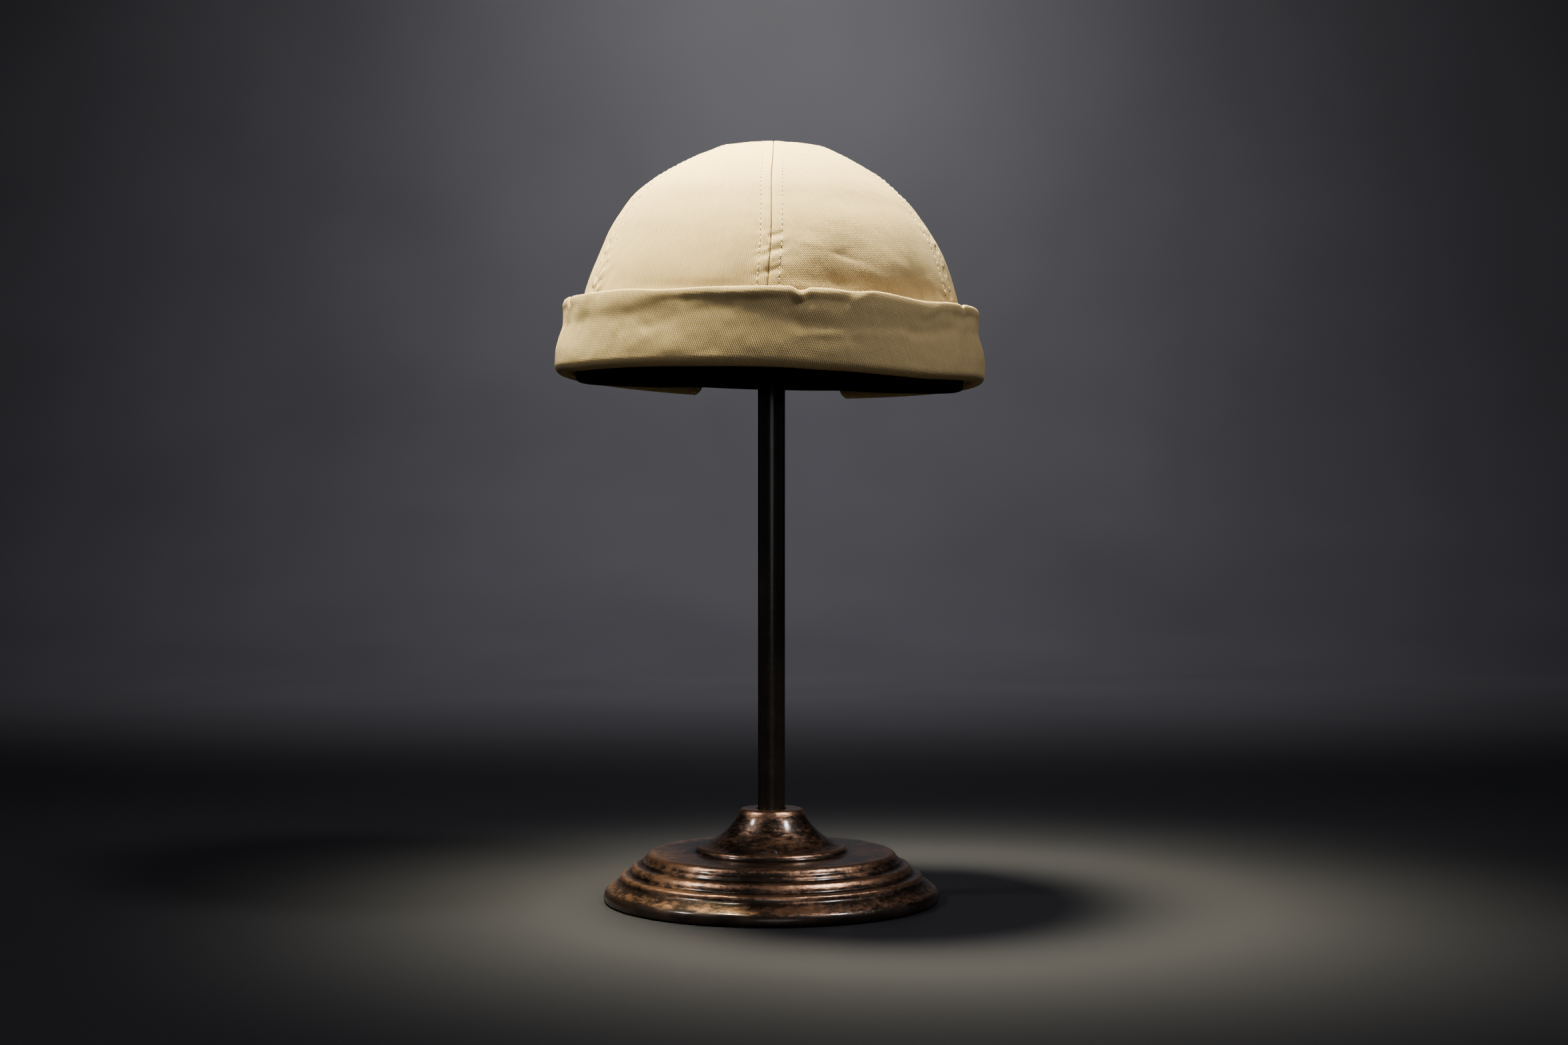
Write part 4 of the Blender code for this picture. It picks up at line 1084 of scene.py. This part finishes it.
def stitch_tree():
    """Geometry Nodes: a row of stitches along a line, whose points carry the direction out."""
    sizes = ("Pitch", "Length", "Thread", "Shift", "Lift", "Looseness")
    inputs = [("Line", "Geometry", None), *((size, "Float", None) for size in sizes)]
    inputs += [("Seed", "Int", None), ("Finish", "Material", None)]
    tree, given, result = new_group("stitch row", inputs, [("Stitches", "Geometry")], "GeometryNodeTree")

    def node(kind, inputs=None, **settings):
        return put(tree, kind, inputs, **settings).outputs[0]

    pitch, length, thread, shift, lift, looseness = (given.outputs[size] for size in sizes)
    line = node("GeometryNodeMeshToCurve", {"Mesh": given.outputs["Line"]})
    points = node("GeometryNodeResampleCurve", {"Curve": line, "Length": pitch}, mode="LENGTH")
    ball = node("GeometryNodeMeshUVSphere", {"Segments": 8, "Rings": 5, "Radius": 0.5})
    size = node("ShaderNodeCombineXYZ", {0: length, 1: thread, 2: thread})
    moved = node("ShaderNodeCombineXYZ", {0: shift, 2: lift})
    stitch = node("GeometryNodeTransform", {"Geometry": ball, "Translation": moved, "Scale": size})
    outward = node("GeometryNodeInputNamedAttribute", {"Name": "outward"}, data_type="FLOAT_VECTOR")
    along = node("FunctionNodeAlignRotationToVector", {"Vector": node("GeometryNodeInputTangent")}, axis="X")
    facing = {"Rotation": along, "Vector": outward}
    upright = node("FunctionNodeAlignRotationToVector", facing, axis="Z", pivot_axis="X")
    swing = put(tree, "FunctionNodeRandomValue", {"Seed": given.outputs["Seed"]}, data_type="FLOAT")
    lowest, highest = [socket for socket in swing.inputs if socket.type == "VALUE"][:2]
    tree.links.new(sum_up(tree, "MULTIPLY", looseness, -1.0), lowest)
    tree.links.new(looseness, highest)
    drawn = next(socket for socket in swing.outputs if socket.type == "VALUE")
    turn = node("FunctionNodeEulerToRotation", {0: node("ShaderNodeCombineXYZ", {2: drawn})})
    turned = {"Rotation": upright, "Rotate By": turn}
    loose = node("FunctionNodeRotateRotation", turned, rotation_space="LOCAL")
    row = {"Points": points, "Instance": stitch, "Rotation": loose}
    real = node("GeometryNodeRealizeInstances", {0: node("GeometryNodeInstanceOnPoints", row)})
    smooth = node("GeometryNodeSetShadeSmooth", {0: real})
    painted = node("GeometryNodeSetMaterial", {"Geometry": smooth, "Material": given.outputs["Finish"]})
    tree.links.new(painted, result.inputs[0])
    return tree


def make_stitches(name, lines, tree, finish, slot, seed, **values):
    """One mesh of all the stitches along these lines, each a pair of points and outward directions."""
    points = np.concatenate([line[0] for line in lines])
    outward = np.concatenate([line[1] for line in lines])
    edges, start = [], 0
    for place, _ in lines:
        edges += [(start + i, start + i + 1) for i in range(len(place) - 1)]
        start += len(place)
    mesh = bpy.data.meshes.new(name + "_line")
    mesh.from_pydata(points, edges, [])
    carried = mesh.attributes.new("outward", "FLOAT_VECTOR", "POINT")
    carried.data.foreach_set("vector", outward.astype(np.float32).ravel())
    source = bpy.data.objects.new(name + "_line", mesh)
    bpy.context.scene.collection.objects.link(source)
    modifier = source.modifiers.new("stitches", "NODES")
    modifier.node_group = tree
    settings = {"Seed": seed, "Finish": finish, **values}
    for socket in tree.interface.items_tree:
        if socket.in_out == "INPUT" and socket.name in settings:
            modifier[socket.identifier] = settings[socket.name]
    evaluated = source.evaluated_get(bpy.context.evaluated_depsgraph_get())
    made = bpy.data.meshes.new_from_object(evaluated)
    made.name = name
    source.modifiers.remove(modifier)
    bpy.data.objects.remove(source)
    piece = bpy.data.objects.new(name, made)
    bpy.context.scene.collection.objects.link(piece)
    return stand_in(piece, slot)


def line_outward(points, inside):
    """Directions straight out of the cloth along a line, from the line and its twin on the inner face."""
    away = points - inside
    return away / np.linalg.norm(away, axis=-1, keepdims=True)


def crown_stitch_lines():
    """The two stitch rows beside each seam, on the outer face of the gores."""
    lines = []
    down = np.linspace(STITCHED_FROM, PANEL_LENGTH - 1.5 * MM, 260)
    for number, (_, first, last, _) in enumerate(PANELS):
        for side in (first, last):
            seam = seam_angle(side, down)
            turn = STITCH_OFFSET / crown_pace(seam, down) * (1 if side == first else -1)
            wander = STITCH_WANDER * ripple(down[:, None], 22 * MM, 70 + number)
            turn = turn + wander / crown_pace(seam, down)
            outer, inner, _ = gore_cloth((first, last), seam + turn, down, 100 + number)
            lines.append((outer, line_outward(outer, inner)))
    return lines


def strap_stitch_lines():
    """The stitch rows along the strap's two edges."""
    along = np.linspace(1.5 * MM, STRAP_LENGTH - 1.5 * MM, 120)
    angle = math.pi + between(-STRAP_REACH, STRAP_REACH, along / STRAP_LENGTH)
    from_end = np.minimum(along, STRAP_LENGTH - along)
    half = STRAP_THICKNESS / 2
    lines = []
    for row in (STRAP_STITCH_OFFSET, STRAP_WIDTH - STRAP_STITCH_OFFSET):
        across = np.full_like(along, row)
        outer = strap_place(angle, across, half + strap_relief(across, from_end))
        lines.append((outer, line_outward(outer, strap_place(angle, across, 0 * along - half))))
    return lines


def make_cap():
    """The cap's cloth pieces, the stitches in them, and painted shade in the needle holes."""
    weave, shade_and_rubbing = twill_group(), seam_shade_and_rubbing_group()
    twill, strap_twill = (twill_finish(name, weave, shade_and_rubbing, *looks) for name, looks in TWILLS.items())
    thread, shade = thread_finish(), hole_shade_finish()
    for number, (name, first, last, slant) in enumerate(PANELS):
        make_gore(name, first, last, slant, 100 + number, twill)
    make_cuff(twill)
    make_sweatband(band_finish())
    make_strap(strap_twill)
    tree = stitch_tree()
    rows = (crown_stitch_lines(), "cotton_twill"), (strap_stitch_lines(), "strap_twill")
    for kind, (lines, slot) in zip(("crown", "strap"), rows):
        make_stitches(kind + "_topstitch", lines, tree, thread, slot, 3, **STITCHES)
        make_stitches(kind + "_painted_hole_shades", lines, tree, shade, slot, 4, **HOLE_SHADES)


def make_floor():
    """The seamless floor under and behind the stand, which is no piece of the object."""
    finish, tree, shader = new_finish("floor_paint", Roughness=0.55, Specular_IOR_Level=0.4)
    speckle = noise(tree, object_place(tree), 3.0)
    feed(tree, shader, {"Base Color": blended(tree, speckle, FLOOR_DARK, FLOOR_PALE)})
    mesh = bpy.data.meshes.new("floor")
    line = [(-FLOOR_REACH, 0.0)]
    for turn in np.linspace(0, math.pi / 2, 33):
        line.append((FLOOR_BACK + FLOOR_BEND * math.sin(turn), FLOOR_BEND * (1 - math.cos(turn))))
    line.append((FLOOR_BACK + FLOOR_BEND, FLOOR_REACH))
    points = [(side * FLOOR_REACH, y, z) for y, z in line for side in (-1, 1)]
    mesh.from_pydata(points, [], [(i, i + 1, i + 3, i + 2) for i in range(0, len(points) - 2, 2)])
    mesh.shade_smooth()
    add_piece("floor", mesh, finish)


def add_area_light(name, place, target, size, power, spread, colour):
    """A round soft light at a place, facing its target."""
    light = bpy.data.lights.new(name, "AREA")
    light.shape = "DISK"
    light.size = size
    light.energy = power
    light.color = colour
    light.spread = math.radians(spread)
    lamp = bpy.data.objects.new(name, light)
    lamp.location = place
    lamp.rotation_euler = (Vector(target) - Vector(place)).to_track_quat("-Z", "Y").to_euler()
    bpy.context.scene.collection.objects.link(lamp)


def light_scene():
    """The lights, the dim surroundings and how the picture is developed."""
    world = bpy.data.worlds.new("studio")
    world.use_nodes = True
    surroundings = world.node_tree.nodes["Background"]
    surroundings.inputs[0].default_value = SURROUNDINGS
    surroundings.inputs[1].default_value = SURROUNDINGS_STRENGTH
    bpy.context.scene.world = world
    for name, *settings in LIGHTS:
        add_area_light(name, *settings)
    view = bpy.context.scene.view_settings
    view.view_transform = "AgX"
    view.look = "AgX - High Contrast"
    view.exposure = EXPOSURE


def set_camera():
    """The photograph's view: level, about 1 m away, at about half the stand's height."""
    data = bpy.data.cameras.new("photo_camera")
    data.sensor_width = 36
    data.lens = CAMERA_LENS
    data.shift_y = CAMERA_SHIFT
    camera = bpy.data.objects.new("photo_camera", data)
    camera.location = CAMERA_PLACE
    camera.rotation_euler = (math.pi / 2, 0, 0)
    bpy.context.scene.collection.objects.link(camera)
    bpy.context.scene.camera = camera


make_cap()
rub = rub_group()
make_stand(*(lacquer_finish(name, rub, *looks) for name, looks in LACQUERS.items()))
make_floor()
light_scene()
set_camera()
